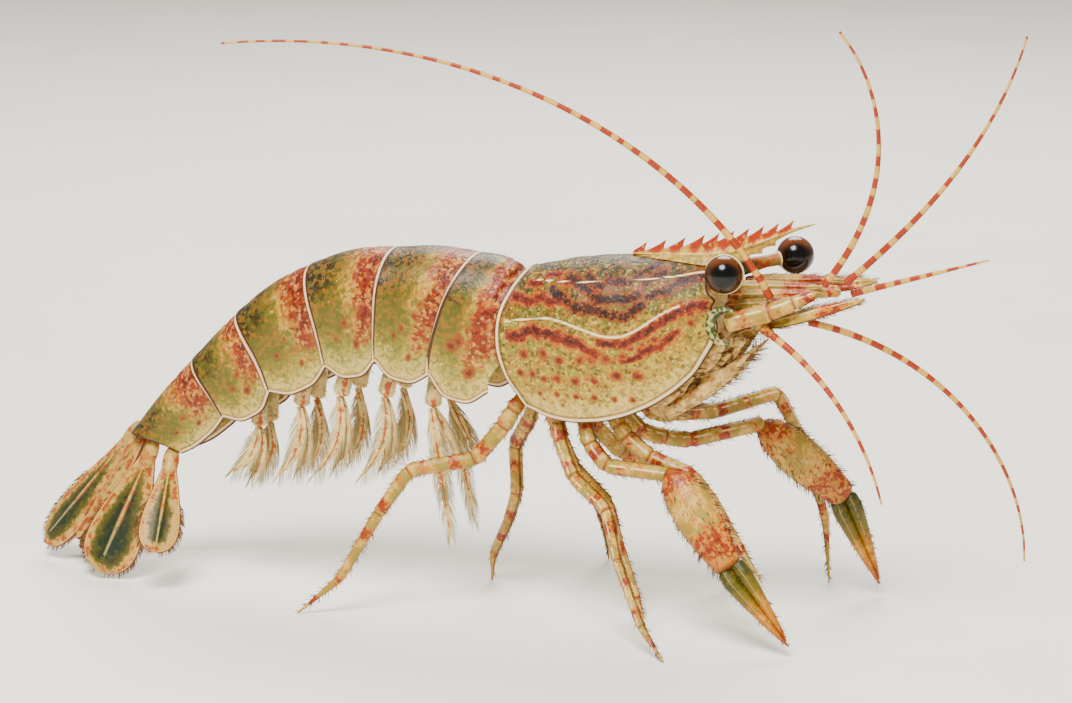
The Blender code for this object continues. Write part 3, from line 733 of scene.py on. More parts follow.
@dataclass(frozen=True)
class Cornea:
    """The clear, faceted cuticle over an eye: high gloss over near-black, bronze towards its edge."""

    ground: str = "#0C0705"
    bronze: str = "#6A4630"
    facet: float = 0.09

    def make(self) -> Material:
        """Builds the material; the facets are drawn about three times as coarse as life, so that they show.

        Returns:
            The finished material.
        """
        paint = Paint("clear_cuticle_grown_cornea", self.ground)
        lay = paint.lay
        lay("#3C2618", 0.9, ("pole", 0.93, 0.76))
        lay(self.bronze, 0.9, (paint.ragged("pole", 0.8, 0.10), 0.82, 0.58))
        # Lighter brown on the upper part of the ring: painted light, the halo round the highlight.
        lay("#8E5C3A", 0.8, ("low", -0.30, -0.75), ("pole", 0.95, 0.7))
        # Blue-grey on the lower part of the eye: painted shade.
        lay("#1C2426", 0.6, ("low", 0.2, 0.9), paint.mottle(1.2, 0.40, 0.60))
        lay("#140A06", 0.95, ("pole", 0.40, 0.22))
        inputs = {"Vector": paint.spot, "Scale": 1 / (self.facet * MM)}
        facets = add_node(paint.tree, "TexVoronoi", inputs).outputs["Distance"]
        return paint.finish(0.16, facets, 0.003)


@dataclass(frozen=True)
class StalkCuticle:
    """Thin cuticle of the eyestalks: cream at the eye, grey-green and orange behind."""

    ground: str = "#B3965E"

    def make(self) -> Material:
        """Builds the material from the reach along the stalk.

        Returns:
            The finished material.
        """
        paint = Paint("thin_cuticle_grown_eyestalk", self.ground)
        lay = paint.lay
        lay("#6B6A4A", 0.85, (paint.ragged("along", 0.8, 0.4), 0.42, 0.22))
        lay("#C85A30", 0.9, (paint.ragged("along", 0.6, 0.35), 0.36, 0.48), ("along", 0.78, 0.62),
            paint.mottle(0.8, 0.40, 0.52))
        lay("#F5E0BF", 0.9, ("along", 0.90, 0.98))
        return paint.finish(0.42, paint.cloud(0.3), 0.04)


@dataclass(frozen=True)
class LimbCuticle:
    """Hardened cuticle of a limb: cream and olive with orange-red bands, satin."""

    name: str = "hard_cuticle_grown_limb"
    ground: str = "#DDBC7E"
    olive: str = "#A3964E"
    red: str = "#B04C16"
    cover: float = 0.15
    joint: str = "#A8682E"
    speck: str = "#5E4418"

    def make(self) -> Material:
        """Builds the material from the band, joint and edge values of the limb's mesh.

        Returns:
            The finished material.
        """
        paint = Paint(self.name, self.ground)
        lay = paint.lay
        lay(self.olive, 0.7, paint.mottle(1.5, 0.42, 0.56))
        lay("#C79A52", 0.5, paint.cells(0.4, 0.55, 0.65))
        band = paint.ragged("band", 0.9, 1.3)
        lay("#D8924E", 0.75, (band, self.cover, self.cover + 0.25))
        lay(self.red, 0.9, (band, self.cover + 0.25, self.cover + 0.5), paint.mottle(1.3, 0.42, 0.50))
        lay("#8E3C14", 0.7, (band, self.cover + 0.6, self.cover + 0.9), paint.cells(0.35, 0.55, 0.62))
        lay(self.joint, 0.8, ("joint", 0.45, 0.9))
        # Cream line where the ridge value is high: on limb sleeves and palms a painted highlight line along one
        # side, on the scales and head blades their pale midrib.
        lay("#FBEFD6", 0.8, ("ridge", 0.45, 0.9), paint.mottle(1.2, 0.40, 0.48))
        lay(self.speck, 0.65, paint.mottle(0.2, 0.64, 0.69))
        lay("#7A4A1E", 0.75, ("edge", 0.72, 1.0))
        relief = paint.join("ADD", paint.cloud(0.25), paint.cloud(0.9))
        return paint.finish(0.42, relief, 0.05)


@dataclass(frozen=True)
class FingerCuticle:
    """Thick, hard cuticle of the claws' fingers: green at the root, ochre, orange-brown at the tip."""

    name: str = "hard_cuticle_grown_finger"
    ground: str = "#C88E3C"

    def make(self) -> Material:
        """Builds the material from the reach along a finger.

        Returns:
            The finished material.
        """
        paint = Paint(self.name, self.ground)
        lay = paint.lay
        along = paint.ragged("along", 1.0, 0.18)
        lay("#8A7E34", 0.9, (along, 0.66, 0.36))
        lay("#5A5C22", 0.85, (along, 0.34, 0.10), paint.mottle(0.9, 0.34, 0.5))
        lay("#E0B466", 0.6, paint.mottle(0.9, 0.50, 0.62), (along, 0.35, 0.65))
        lay("#B05C20", 0.85, (along, 0.74, 0.98))
        # Pale line where the ridge value is high: a painted highlight line along one side of each finger.
        lay("#F6E6BC", 0.75, ("ridge", 0.55, 0.95))
        lay("#7A4A1E", 0.75, ("edge", 0.7, 1.0))
        lay("#4E3E18", 0.6, paint.mottle(0.2, 0.64, 0.69))
        return paint.finish(0.38, paint.cloud(0.4), 0.05)


@dataclass(frozen=True)
class FeelerCuticle:
    """Flexible ringed cuticle of the feelers: bands of orange-red and cream."""

    ground: str = "#E4BC78"
    red: str = "#B84E16"

    def make(self) -> Material:
        """Builds the material from the bands and the feeler's own fine rings.

        Returns:
            The finished material.
        """
        paint = Paint("ringed_cuticle_grown_feeler", self.ground)
        lay = paint.lay
        lay("#C9B06C", 0.6, paint.mottle(1.1, 0.50, 0.62))
        lay("#DA8E4E", 0.7, (paint.ragged("band", 0.5, 0.5), -0.45, 0.0))
        lay(self.red, 0.95, (paint.ragged("band", 0.4, 0.4), -0.05, 0.3))
        lay("#8E4A20", 0.7, ("edge", 0.6, 1.0))
        lay("#8A4A26", 0.35, ("ring", 0.25, 0.0))
        return paint.finish(0.45, paint.cloud(0.3), 0.02)


@dataclass(frozen=True)
class SoftCuticle:
    """Thin cuticle of mouthparts, swimming legs and joints: matt, with streaks along each part."""

    name: str = "thin_cuticle_grown_mouthpart"
    ground: str = "#D9B783"
    shade: str = "#A5824F"
    streak: str = "#C46A38"
    cover: float = 0.50
    gaps: float = 0.48

    def make(self) -> Material:
        """Builds the material from the streak down the middle of each part and its edge.

        Returns:
            The finished material.
        """
        paint = Paint(self.name, self.ground)
        lay = paint.lay
        lay(self.shade, 0.7, paint.mottle(1.3, 0.44, 0.62))
        lay("#EBD6AA", 0.6, paint.cells(0.4, 0.66, 0.74))
        lay(self.streak, 0.85, (paint.ragged("ridge", 0.7, 0.9), self.cover, self.cover + 0.25),
            paint.mottle(1.3, self.gaps, self.gaps + 0.08))
        lay("#F3E2C0", 0.55, ("edge", 0.55, 0.8))
        lay("#8A5A30", 0.6, ("edge", 0.88, 1.0))
        lay("#6E5128", 0.5, paint.mottle(0.2, 0.66, 0.71))
        return paint.finish(0.5, paint.cloud(0.3), 0.05)


@dataclass(frozen=True)
class FanCuticle:
    """Thin hard cuticle of the tail blades: dark blue-green, pale midrib, cream and red margins."""

    ground: str = "#5C5B35"

    def make(self) -> Material:
        """Builds the material from the reach along a blade and the distance from its margin.

        Returns:
            The finished material.
        """
        paint = Paint("thin_cuticle_grown_tail_blade", self.ground)
        lay = paint.lay
        rim = paint.ragged("rim", 0.9, 0.7)
        lay("#3E5040", 0.8, paint.mottle(1.2, 0.38, 0.54))
        lay("#8C7C3C", 0.65, (rim, 2.4, 1.2))
        lay("#7E7C40", 0.6, paint.mottle(0.8, 0.56, 0.68))
        lay("#A08C48", 0.85, ("along", 0.42, 0.05))
        lay("#D0AC68", 0.7, ("ridge", 0.45, 0.75), ("along", 0.80, 0.45))
        lay("#B4521C", 0.85, ("ridge", 0.30, 0.70), ("along", 0.75, 0.40), paint.mottle(1.0, 0.46, 0.54))
        lay("#D6B47A", 0.9, (rim, 1.35, 0.80))
        lay("#B4521C", 0.8, (rim, 1.15, 0.65), paint.mottle(1.1, 0.48, 0.57))
        lay("#E9C18C", 0.75, ("rim", 0.34, 0.20))
        lay("#E6D2A0", 0.8, ("ridge", 0.80, 0.99), paint.mottle(1.6, 0.36, 0.48))
        lay("#7A4A20", 0.9, ("rim", 0.16, 0.06))
        lay("#26301E", 0.6, paint.mottle(0.24, 0.62, 0.68), ("rim", 1.0, 1.4))
        return paint.finish(0.40, paint.cloud(0.4), 0.05)


@dataclass(frozen=True)
class Bristle:
    """Chitin bristle, grown: clear amber, darker towards its tip."""

    name: str
    ground: str = "#B98C55"
    tip: str = "#7A4F28"

    def make(self) -> Material:
        """Builds the material from the reach along a bristle and each bristle's own tone.

        Returns:
            The finished material.
        """
        paint = Paint(self.name, self.ground)
        lay = paint.lay
        lay("#C89E60", 0.7, ("tone", 0.5, 1.0))
        lay(self.tip, 0.6, ("tip", 0.3, 1.0))
        return paint.finish(0.45, paint.cloud(0.3), 0.005)


# ---- trunk
@dataclass
class Plate:
    """One shell plate, stretched between four edge curves seen from the side.

    Attributes:
        back: along the back, front to rear.
        hem: along the lower edge, front to rear.
        front: the front edge, back to hem.
        rear: the rear edge, back to hem.
        widths: half widths from front to rear.
        tuck: the width kept at the hem, as a share of the half width.
    """

    back: Knots
    hem: Knots
    front: Knots
    rear: Knots
    widths: Numbers
    tuck: float
    widest: float = 0.42
    arch: float = 0.5

    def side_view(self, f: Array, q: Array) -> Array:
        """Points of the plate seen from the side.

        Args:
            f: fraction from front to rear.
            q: fraction from back to hem.

        Returns:
            The points (x, z).
        """
        f, q = np.broadcast_arrays(np.asarray(f, dtype=float), np.asarray(q, dtype=float))
        a, b = f[..., None], q[..., None]
        front, rear = np.asarray(self.front), np.asarray(self.rear)
        edges = ((1 - b) * curve_at(self.back, f) + b * curve_at(self.hem, f)
                 + (1 - a) * curve_at(front, q) + a * curve_at(rear, q))
        corners = ((1 - a) * (1 - b) * front[0] + a * (1 - b) * rear[0]
                   + (1 - a) * b * front[-1] + a * b * rear[-1])
        return edges - corners

    def section(self, s: Array) -> tuple[Array, Array]:
        """Height and width shares from one hem (-1) over the back (0) to the other hem (1).

        Args:
            s: places round the plate.

        Returns:
            The two shares.
        """
        reach = np.abs(s)
        angle = np.minimum(reach / self.arch, 1) * math.pi / 2
        down = np.maximum(reach - self.arch, 0) / (1 - self.arch)
        height = self.widest * (1 - np.cos(angle)) + (1 - self.widest) * down
        return height, np.sign(s) * np.sin(angle) * (1 - (1 - self.tuck) * down ** 2)

    def surface(self, f: Array, s: Array) -> tuple[Array, Array, Array]:
        """The outer surface as a grid.

        Args:
            f: fraction from front to rear, for each point.
            s: place round the plate, from hem (-1) to hem (1).

        Returns:
            The points, their side view and the share of the way down to the hem.
        """
        height, width = self.section(s)
        side = self.side_view(f, height[None, :])
        y = level(self.widths, np.clip(f, 0, 1)) * width[None, :]
        down = np.broadcast_to(height, y.shape)
        return np.stack([side[..., 0], y, side[..., 1]], axis=-1), side, down

    def flesh(self, f: Array, sides: int, shrink: float, top: float, bottom: float) -> Array:
        """Rings of the body that the plate covers.

        Args:
            f: fraction from front to rear, for each ring.
            sides: points round each ring.
            shrink: its width as a share of the plate's.
            top: how far below the back it starts.
            bottom: how far down it ends; 1 is the hem.

        Returns:
            The rings as a grid of points.
        """
        turn = around(sides)
        height = (top + bottom) / 2 - (bottom - top) / 2 * np.cos(turn)
        side = self.side_view(f[:, None], height[None, :])
        y = level(self.widths, f)[:, None] * shrink * np.sin(turn)[None, :]
        return np.stack([side[..., 0], y, side[..., 1]], axis=-1)


# The tail's seams (depth, lean and bow towards the head) and rings (length and pitch of the back, its
# crown, and how far the side plate hangs), laid one behind another from where the first meets the back.
TAIL_START = (-1.5, 38.7)
TAIL_SEAMS = [(13.5, -100, -1.0), (14.0, -109, -0.5), (12.3, -95, 0.0), (11.5, -75, 0.5), (10.0, -60, 0.9),
              (8.0, -55, 0.4), (7.5, -12, 0.4)]
TAIL_RINGS = [(5.0, 15, 0.5, 2.0), (10.0, 0, 0.5, 1.5), (10.5, -13, 0.7, 1.5), (11.0, -33, 0.6, 1.3),
              (8.0, -45, 0.15, 1.5), (13.0, -49, 0.3, 0.5)]
LOBE_FULLNESS = 0.6
RING_WIDTHS = [5.3, 5.4, 5.2, 4.7, 4.0, 3.4, 2.5]


def tail_seams() -> list[Array]:
    """The seams of the tail, front to rear, each from the back to the lower corner.

    Returns:
        The points (x, z) of each seam.
    """
    back, seams = np.array(TAIL_START), []
    for i, (depth, lean, bow) in enumerate(TAIL_SEAMS):
        if i > 0:
            length, pitch = TAIL_RINGS[i - 1][:2]
            back = back + heading(180 - pitch) * length
        seams.append(bowed(back, back + heading(lean) * depth, bow))
    return seams


@dataclass
class Mark:
    """A stroke of colour on the side of the carapace: its route (x, z) and half its width."""

    route: Knots
    half_width: float

    def closeness(self, side: Array) -> Array:
        """1 on the stroke's middle line, 0 at its edge and less beyond it."""
        return np.maximum(1 - distance_to(dense_curve(self.route, 8), side) / self.half_width, FAR_OFF)


@dataclass(frozen=True)
class MarkRow:
    """A broken row of colour beside a line: its distance above it, its ends, its dashes and their girth."""

    offset: float
    begin: float
    end: float
    count: int
    half_width: float
    seed: int

    def dashes(self, line: Knots) -> list[Mark]:
        """The row's dashes, each a little out of line with the next.

        Args:
            line: points (x, z) that the row runs beside.

        Returns:
            The dashes.
        """
        rng = np.random.default_rng(self.seed)
        pitch = (self.end - self.begin) / self.count
        marks = []
        for i in range(self.count):
            start = self.begin + pitch * (i + rng.uniform(0.02, 0.12))
            route = curve_at(line, np.linspace(start, start + pitch * rng.uniform(0.72, 0.86), 5))
            route = route + (0, self.offset + rng.normal(0, 0.22))
            route[:, 1] += rng.uniform(-0.3, 0.3) * np.linspace(-1, 1, 5)
            marks.append(Mark(route, self.half_width * rng.uniform(0.8, 1.15)))
        return marks


@dataclass
class Shield:
    """The carapace: a thin shell with a beaded rim, a groove along each side and its markings."""

    plate: Plate = field(default_factory=lambda: Plate(
        back=bowed((21.6, 40.6), (-0.7, 39.0), -1.3), hem=bowed((21.8, 32.6), (0.4, 24.2), 4.4, 0.8, steps=8),
        front=[(21.6, 40.6), (21.0, 39.6), (21.3, 38.4), (22.2, 37.6), (21.8, 36.6), (22.4, 35.2), (22.3, 33.9),
               (21.8, 32.6)],
        rear=bowed((-0.7, 39.0), (0.4, 24.2), -2.6), widths=[3.9, 4.8, 5.6, 6.1, 6.2, 5.9, 5.3], tuck=0.78))
    wall: float = 0.4
    bead: float = 0.16
    rim_width: float = 0.75
    groove_depth: float = 0.14
    groove_lip: float = 0.05
    ripple: float = 0.05
    rows: int = 150
    columns: int = 190
    side_line: Knots = ((-1.4, 33.8), (4.0, 34.6), (11.5, 33.1), (17.0, 36.2), (21.6, 38.4))
    red_rows: Sequence[MarkRow] = (
        MarkRow(-1.7, 0.02, 0.44, 5, 0.66, 7), MarkRow(-0.8, 0.44, 0.98, 6, 0.56, 3),
        MarkRow(1.9, 0.02, 0.32, 3, 0.48, 4), MarkRow(-2.9, 0.52, 0.82, 3, 0.42, 5),
        MarkRow(4.1, 0.10, 0.44, 4, 0.32, 6))
    dark_rows: Sequence[MarkRow] = (
        MarkRow(2.3, 0.24, 0.62, 4, 0.56, 11), MarkRow(4.3, 0.30, 0.72, 4, 0.52, 12),
        MarkRow(2.4, 0.64, 1.00, 4, 0.48, 13), MarkRow(5.6, 0.36, 0.70, 4, 0.34, 15))
    # Each row of spots: the line it follows, how many, and their radius.
    spot_rows: Sequence[tuple] = (
        (((1.0, 30.6), (7.2, 30.2), (12.5, 31.0)), 7, 0.62), (((0.2, 28.2), (5.9, 28.0), (14.3, 28.9)), 8, 0.55),
        (((13.2, 32.0), (16.0, 32.9), (19.5, 34.6)), 5, 0.42), (((2.4, 25.9), (13.5, 26.4)), 6, 0.34))
    line_width: float = 0.16
    line_end: float = 0.82

    def pale(self) -> list[Mark]:
        """The faint line along the back and the stronger wavy one along the side."""
        line = curve_at(self.side_line, np.linspace(0, self.line_end, 12))
        return [Mark(bowed((1.4, 38.3), (20.6, 40.3), -0.35), 0.10), Mark(line, self.line_width)]

    def marks(self, rows: Sequence[MarkRow]) -> list[Mark]:
        """The dashes of some rows that run beside the wavy line."""
        return [mark for row in rows for mark in row.dashes(self.side_line)]

    def spots(self, side: Array) -> Array:
        """Closeness to the round spots that stand in four rows above the hem.

        Args:
            side: side view (x, z) of the points.

        Returns:
            The closeness: 1 in the middle of a spot, 0 at its edge.
        """
        best = np.full(side.shape[:-1], FAR_OFF)
        rng = np.random.default_rng(5)
        for route, count, radius in self.spot_rows:
            for centre in curve_at(route, np.linspace(0, 1, count)):
                centre = centre + rng.normal(0, 0.18, 2)
                size = radius * rng.uniform(0.8, 1.15)
                best = np.maximum(best, 1 - np.linalg.norm(side - centre, axis=-1) / size)
        return best

    def build(self, material: Material) -> None:
        """Builds the shield and hides the CAD node that it stands for.

        Args:
            material: its finish.
        """
        f, s = crowd_ends(self.rows, 0.6), 2 * crowd_ends(self.columns, 0.6) - 1
        grid, side, down = self.plate.surface(fill(f[:, None], (self.rows, self.columns)), s)
        edge = np.linspace(0, 1, 60)
        rim = np.minimum.reduce([distance_to(curve_at(route, edge), side)
                                 for route in (self.plate.front, self.plate.rear, self.plate.hem)])
        normals = grid_normals(grid)
        pale = self.pale()
        groove = pale[1].closeness(side)
        bead = self.bead * np.sin(math.pi * np.clip(rim / self.rim_width, 0, 1)) ** 0.8
        lip = self.groove_lip * rise(groove, -3, -1.4) * rise(groove, -0.6, -1.6)
        furrow = lip - self.groove_depth * rise(groove, -1.2, 0.6)
        ripple = self.ripple * np.sin(side[..., 0] * 1.7) * np.sin(side[..., 1] * 1.3)
        outer = grid + normals * (bead + furrow + ripple)[..., None]
        inner = grid - normals * (self.wall * rise(rim, -0.1, 0.8))[..., None]

        def closest(marks: list[Mark]) -> Array:
            """The best closeness to any of some marks."""
            return np.maximum.reduce([mark.closeness(side) for mark in marks])

        skin = Skin()
        skin.add_shell(outer, inner, {
            "ahead": f[:, None], "down": down, "rim": rim, "spots": self.spots(side),
            "red_rows": closest(self.marks(self.red_rows)), "dark_rows": closest(self.marks(self.dark_rows)),
            "pale_lines": closest(pale)})
        skin.build("carapace_shell", material, Slot.CARAPACE, "carapace")

    def build_flesh(self, material: Material) -> None:
        """Builds the body under the shield, which closes the head between the feelers' roots."""
        rings = self.plate.flesh(np.linspace(0.02, 0.98, 30), 36, 0.86, 0.06, 0.86)
        Skin.tube(rings, {"edge": 0, "ridge": 0}).build("breast_flesh", material, Slot.MOUTH)


@dataclass
class TailRings:
    """The six rings of the tail: thin plates, each lapping over the front of the next, and their flesh."""

    wall: float = 0.35
    lap: float = 0.35
    first_lap: float = 1.4
    tuck: float = 0.30
    flare: float = 0.10
    bead: float = 0.14
    pleat: float = 0.07
    rows: int = 64
    columns: int = 130

    def plate(self, i: int) -> Plate:
        """The plate of one ring, counted from the front.

        Args:
            i: its number, counted from 0.

        Returns:
            The plate.
        """
        front, rear = tail_seams()[i:i + 2]
        crown, lobe = TAIL_RINGS[i][2:]
        return Plate(back=bowed(front[0], rear[0], -crown), hem=bowed(front[-1], rear[-1], lobe, LOBE_FULLNESS),
                     front=front, rear=rear, widths=RING_WIDTHS[i:i + 2], tuck=0.86)

    def build(self, material: Material) -> None:
        """Builds the six plates."""
        for i in range(len(TAIL_RINGS)):
            self.build_ring(i, material)

    def build_ring(self, i: int, material: Material) -> None:
        """Builds one plate, its front tucked under the plate before it and its rear flared.

        Args:
            i: its number, counted from 0.
            material: its finish.
        """
        plate = self.plate(i)
        length = np.linalg.norm(np.subtract(plate.front[0], plate.rear[0]))
        lap = self.lap / length
        reach = self.first_lap / length if i == 0 else lap
        f = crowd_ends(self.rows) * (1 + reach + (lap if i < 5 else 0)) - reach
        s = 2 * crowd_ends(self.columns, 0.6) - 1
        hidden = 1 - rise(plate.section(s)[0], 0.70, 0.95) if i == 0 else np.ones(self.columns)
        ahead = f[:, None] * np.where(f[:, None] < 0, hidden, 1)
        grid, side, down = plate.surface(ahead, s)
        edge = np.linspace(0, 1, 50)
        hem = distance_to(curve_at(plate.hem, edge), side)
        rear = (ahead[-1] - ahead) * length
        front = np.maximum(ahead, 0) * length + (2 if i == 0 else 0)
        normals = grid_normals(grid)
        tuck = -self.tuck * rise(ahead * length, 0.7, 0.0) * rise(down, 1.0, 0.75)
        flare = self.flare * rise(rear, 1.6, 0.2) * rise(down, 1.0, 0.8)
        bead = self.bead * np.sin(math.pi * np.clip(hem / 0.6, 0, 1)) ** 0.8
        pleat = self.pleat * np.sin(math.pi * np.clip((ahead - 0.25) / 0.12, 0, 1)) * rise(down, 0.7, 0.4)
        outer = grid + normals * (tuck + flare + bead - pleat)[..., None]
        near = np.minimum(hem, rear)
        inner = grid + normals * (tuck - self.wall * rise(near, -0.1, 0.6))[..., None]
        skin = Skin()
        skin.add_shell(outer, inner, {
            "ahead": ahead, "down": down, "hem_edge": hem, "front_edge": front, "rear_edge": rear,
            "spots": self.spots(i, ahead, down, length)})
        skin.build(f"tail_ring_{i + 1}", material, Slot.ABDOMEN, f"abdomen_{i + 1}")

    def spots(self, i: int, ahead: Array, down: Array, length: float) -> Array:
        """Closeness to the few round spots low on each ring.

        Args:
            i: the ring's number, counted from 0.
            ahead: share of the way to the rear, for each point.
            down: share of the way down to the hem.
            length: the ring's length.

        Returns:
            The closeness: 1 in the middle of a spot, 0 at its edge.
        """
        rng = np.random.default_rng(40 + i)
        best = np.full(ahead.shape, FAR_OFF)
        for a, d in ((0.50, 0.55), (0.34, 0.76), (0.68, 0.64)):
            a, d = a + rng.uniform(-0.08, 0.08), d + rng.uniform(-0.05, 0.05)
            away = np.hypot((ahead - a) * length, (down - d) * 13.0)
            best = np.maximum(best, 1 - away / rng.uniform(0.35, 0.6))
        return best

    def build_flesh(self, material: Material) -> None:
        """Builds the tail's flesh, ridged across between the swimming legs.

        Args:
            material: its finish.
        """
        rings = np.concatenate([self.plate(i).flesh(np.linspace(0.04, 0.96, 14), 36, 0.84, 0.05, 0.74)
                                for i in range(len(TAIL_RINGS))])
        Skin.tube(rings, {"edge": 0, "ridge": 0}).build("tail_flesh", material, Slot.PLEOPOD)


@dataclass
class Breast:
    """The flat underside that carries the legs."""

    ends: Sequence[Numbers] = ((-1.4, 27.7), (15.6, 28.6))
    sag: float = 1.3
    depth: float = 1.8
    half_width: float = 2.6

    def build(self, material: Material) -> None:
        """Builds the breast plate with a low ridge between each pair of legs.

        Args:
            material: its finish.
        """
        t = np.linspace(0, 1, 60)
        middle = curve_at(bowed(*self.ends, -self.sag), t)
        route = np.column_stack([middle[:, 0], np.zeros_like(t), middle[:, 1] - self.depth / 2])
        swell = 1 + 0.06 * np.cos(2 * math.pi * 6 * t)
        taper = np.minimum(1, 3 * np.minimum(t, 1 - t) + 0.35)
        depths = self.depth / 2 * swell * taper ** 0.5
        rings = sweep(route, self.half_width * swell * taper, depths, (0, 0, 1), 28)
        Skin.tube(rings, {"edge": 0, "ridge": 0}).build("breast_plate", material, Slot.MOUTH, "breast")


# ---- beak and eyes
@dataclass
class Beak:
    """The toothed beak: a thin blade with a ridge along each side, ten teeth above and three below."""

    root: Numbers = (11.4, 41.5)
    tip: Numbers = (32.0, 45.95)
    sag: float = 0.3
    under: Knots = ((11.4, 41.2), (15.5, 41.1), (21.4, 40.8), (25.1, 42.2), (28.9, 44.5), (32.0, 45.8))
    first_tooth: float = 12.4
    rear_teeth: tuple[int, float] = (4, 2.2)
    front_teeth: tuple[int, float] = (6, 1.68)
    low_teeth: Numbers = (24.4, 25.9, 27.4)
    tall: float = 1.05
    front_slope: float = 0.22
    overhang: float = 0.55
    half_thickness: float = 0.45
    foot: float = 1.3

    def teeth(self) -> list[float]:
        """Where the teeth stand: wide-set ones behind the eye, closer ones ahead of it."""
        teeth = [self.first_tooth + self.rear_teeth[1] * i for i in range(self.rear_teeth[0])]
        return teeth + [teeth[-1] + self.front_teeth[1] * (i + 1) for i in range(self.front_teeth[0])]

    def edge_at(self, edge: Knots, x: Array) -> Array:
        """Height of the top or the under edge at some x."""
        line = curve_at(edge, np.linspace(0, 1, 200))
        return np.interp(x, line[:, 0], line[:, 1])

    def saw(self, teeth: Numbers, tall: float, x: Array) -> Array:
        """Height of the teeth at some x: each rises slowly to its point and falls steeply in front.

        Args:
            teeth: where the teeth stand.
            tall: the height of a full tooth.
            x: where to read it.

        Returns:
            The heights.
        """
        ends = np.array([teeth[0] - 1.8, *teeth])
        height = np.zeros_like(x)
        for last, tip in zip(ends[:-1], ends[1:]):
            begin = max(last + self.front_slope, tip - 1.9)
            climb = np.clip((x - begin) / (tip - begin), 0, 1) ** 1.7
            fall = np.clip(1 - (x - tip) / self.front_slope, 0, 1)
            share = tall * min(1.0, (tip - begin) / 1.4)
            height = np.maximum(height, share * np.where(x <= tip, climb, fall))
        return height

    def build(self, material: Material) -> None:
        """Builds the blade and its teeth as one piece.

        Args:
            material: its finish.
        """
        x = np.linspace(self.root[0], self.tip[0], 420)
        teeth = self.teeth()
        lift_up, lift_down = self.saw(teeth, self.tall, x), self.saw(self.low_teeth, 0.4, x)
        high, low = self.edge_at(bowed(self.root, self.tip, -self.sag), x), self.edge_at(self.under, x)
        turn = around(40)
        lift = np.cos(turn)
        height = (high + low)[:, None] / 2 + (high - low)[:, None] / 2 * lift
        up = np.clip((lift - 0.55) / 0.45, 0, 1) ** 1.5
        under = np.clip((-lift - 0.6) / 0.4, 0, 1) ** 1.5
        height = height + lift_up[:, None] * up - lift_down[:, None] * under
        ahead = x[:, None] + self.overhang * (lift_up[:, None] * up + lift_down[:, None] * under)
        ridge = np.exp(-((lift - 0.05) / 0.22) ** 2)
        thick = self.half_thickness * (0.45 * np.sqrt(np.clip(1 - lift ** 2, 0, 1)) + 0.55 * ridge) + 0.05
        fade = (0.15 + 0.85 * np.minimum(1, (self.tip[0] - x) / 6.0))[:, None]
        foot = self.foot * (rise(x, 11.0, 15.0) * rise(x, 25.0, 19.0))[:, None] * ((1 - lift) / 2) ** 2.2
        flat = np.sin(turn) ** 2 > 1e-6
        y = np.sign(np.round(np.sin(turn), 6)) * (thick * fade + foot * flat)
        down = np.broadcast_to((1 - lift) / 2, height.shape)
        blot = np.maximum.reduce(
            [1 - np.hypot((x - tooth + 0.55)[:, None] / 0.85, down / 0.42) for tooth in teeth])
        skin = Skin.tube(np.stack([ahead, y, height], axis=-1), {
            "down": down, "ridge": ridge, "blot": blot, "margin": np.maximum(lift, -lift * 0.97) ** 24})
        skin.build("rostrum_blade", material, Slot.ROSTRUM, "rostrum")


@dataclass
class Eye:
    """One eye on its stalk: a faceted cornea set in a cup of pale cuticle."""

    side: str
    stalk: Knots
    radii: Numbers = (0.8, 1.05, 1.25, 1.7)
    cup_angle: float = 84.0
    ring_axis: Numbers = (0.37, -0.90, 0.22)

    def build(self, cornea: Material, cuticle: Material) -> None:
        """Builds the cornea and the stalk with its cup.

        Args:
            cornea: the eye's finish.
            cuticle: the stalk's finish.
        """
        centre = np.array(EYES[self.side])
        axis = unit(centre - np.array(self.stalk[-1]))
        side = unit(np.cross(axis, (0, 0, 1)))
        up = np.cross(side, axis)
        polar = np.radians(np.linspace(2, 178, 64))
        turn = around(72)
        ring = side * np.cos(turn)[:, None] + up * np.sin(turn)[:, None]

        def dome(angles: Array) -> Array:
            """Directions out of the eye's middle at some angles from its axis, as rings."""
            return axis * np.cos(angles)[:, None, None] + ring * np.sin(angles)[:, None, None]

        ball = dome(polar)
        pole = np.abs(ball @ unit(self.ring_axis))
        # The low value is the depth down the ball; the cornea's finish paints light on the upper part and shade
        # on the lower part from it.
        skin = Skin.tube(centre + ball * EYE_RADIUS, {"pole": pole, "low": -ball[..., 2]})
        skin.build(f"cornea_{self.side}", cornea, Slot.EYE, f"eye_{self.side}")
        skin = Skin()
        route, reach = even_route([*self.stalk, tuple(centre - axis * EYE_RADIUS * 0.8)], 0.12)
        along = reach / reach[-1]
        radii = level(self.radii, along)
        skin.add_grid(sweep(route, radii, radii, (0, 0, 1), 28), {"along": along[:, None] * 0.85})
        cup = np.radians(np.linspace(180, 180 - self.cup_angle, 20))
        lip = np.append(np.full(19, 0.13), 0.10)
        grid = np.concatenate([centre + dome(cup) * (EYE_RADIUS + lip)[:, None, None],
                               centre + dome(cup)[::-1] * (EYE_RADIUS - 0.1)])
        skin.add_grid(grid, {"along": 1.0})
        skin.build(f"stalk_{self.side}", cuticle, Slot.STALK, f"eyestalk_{self.side}")


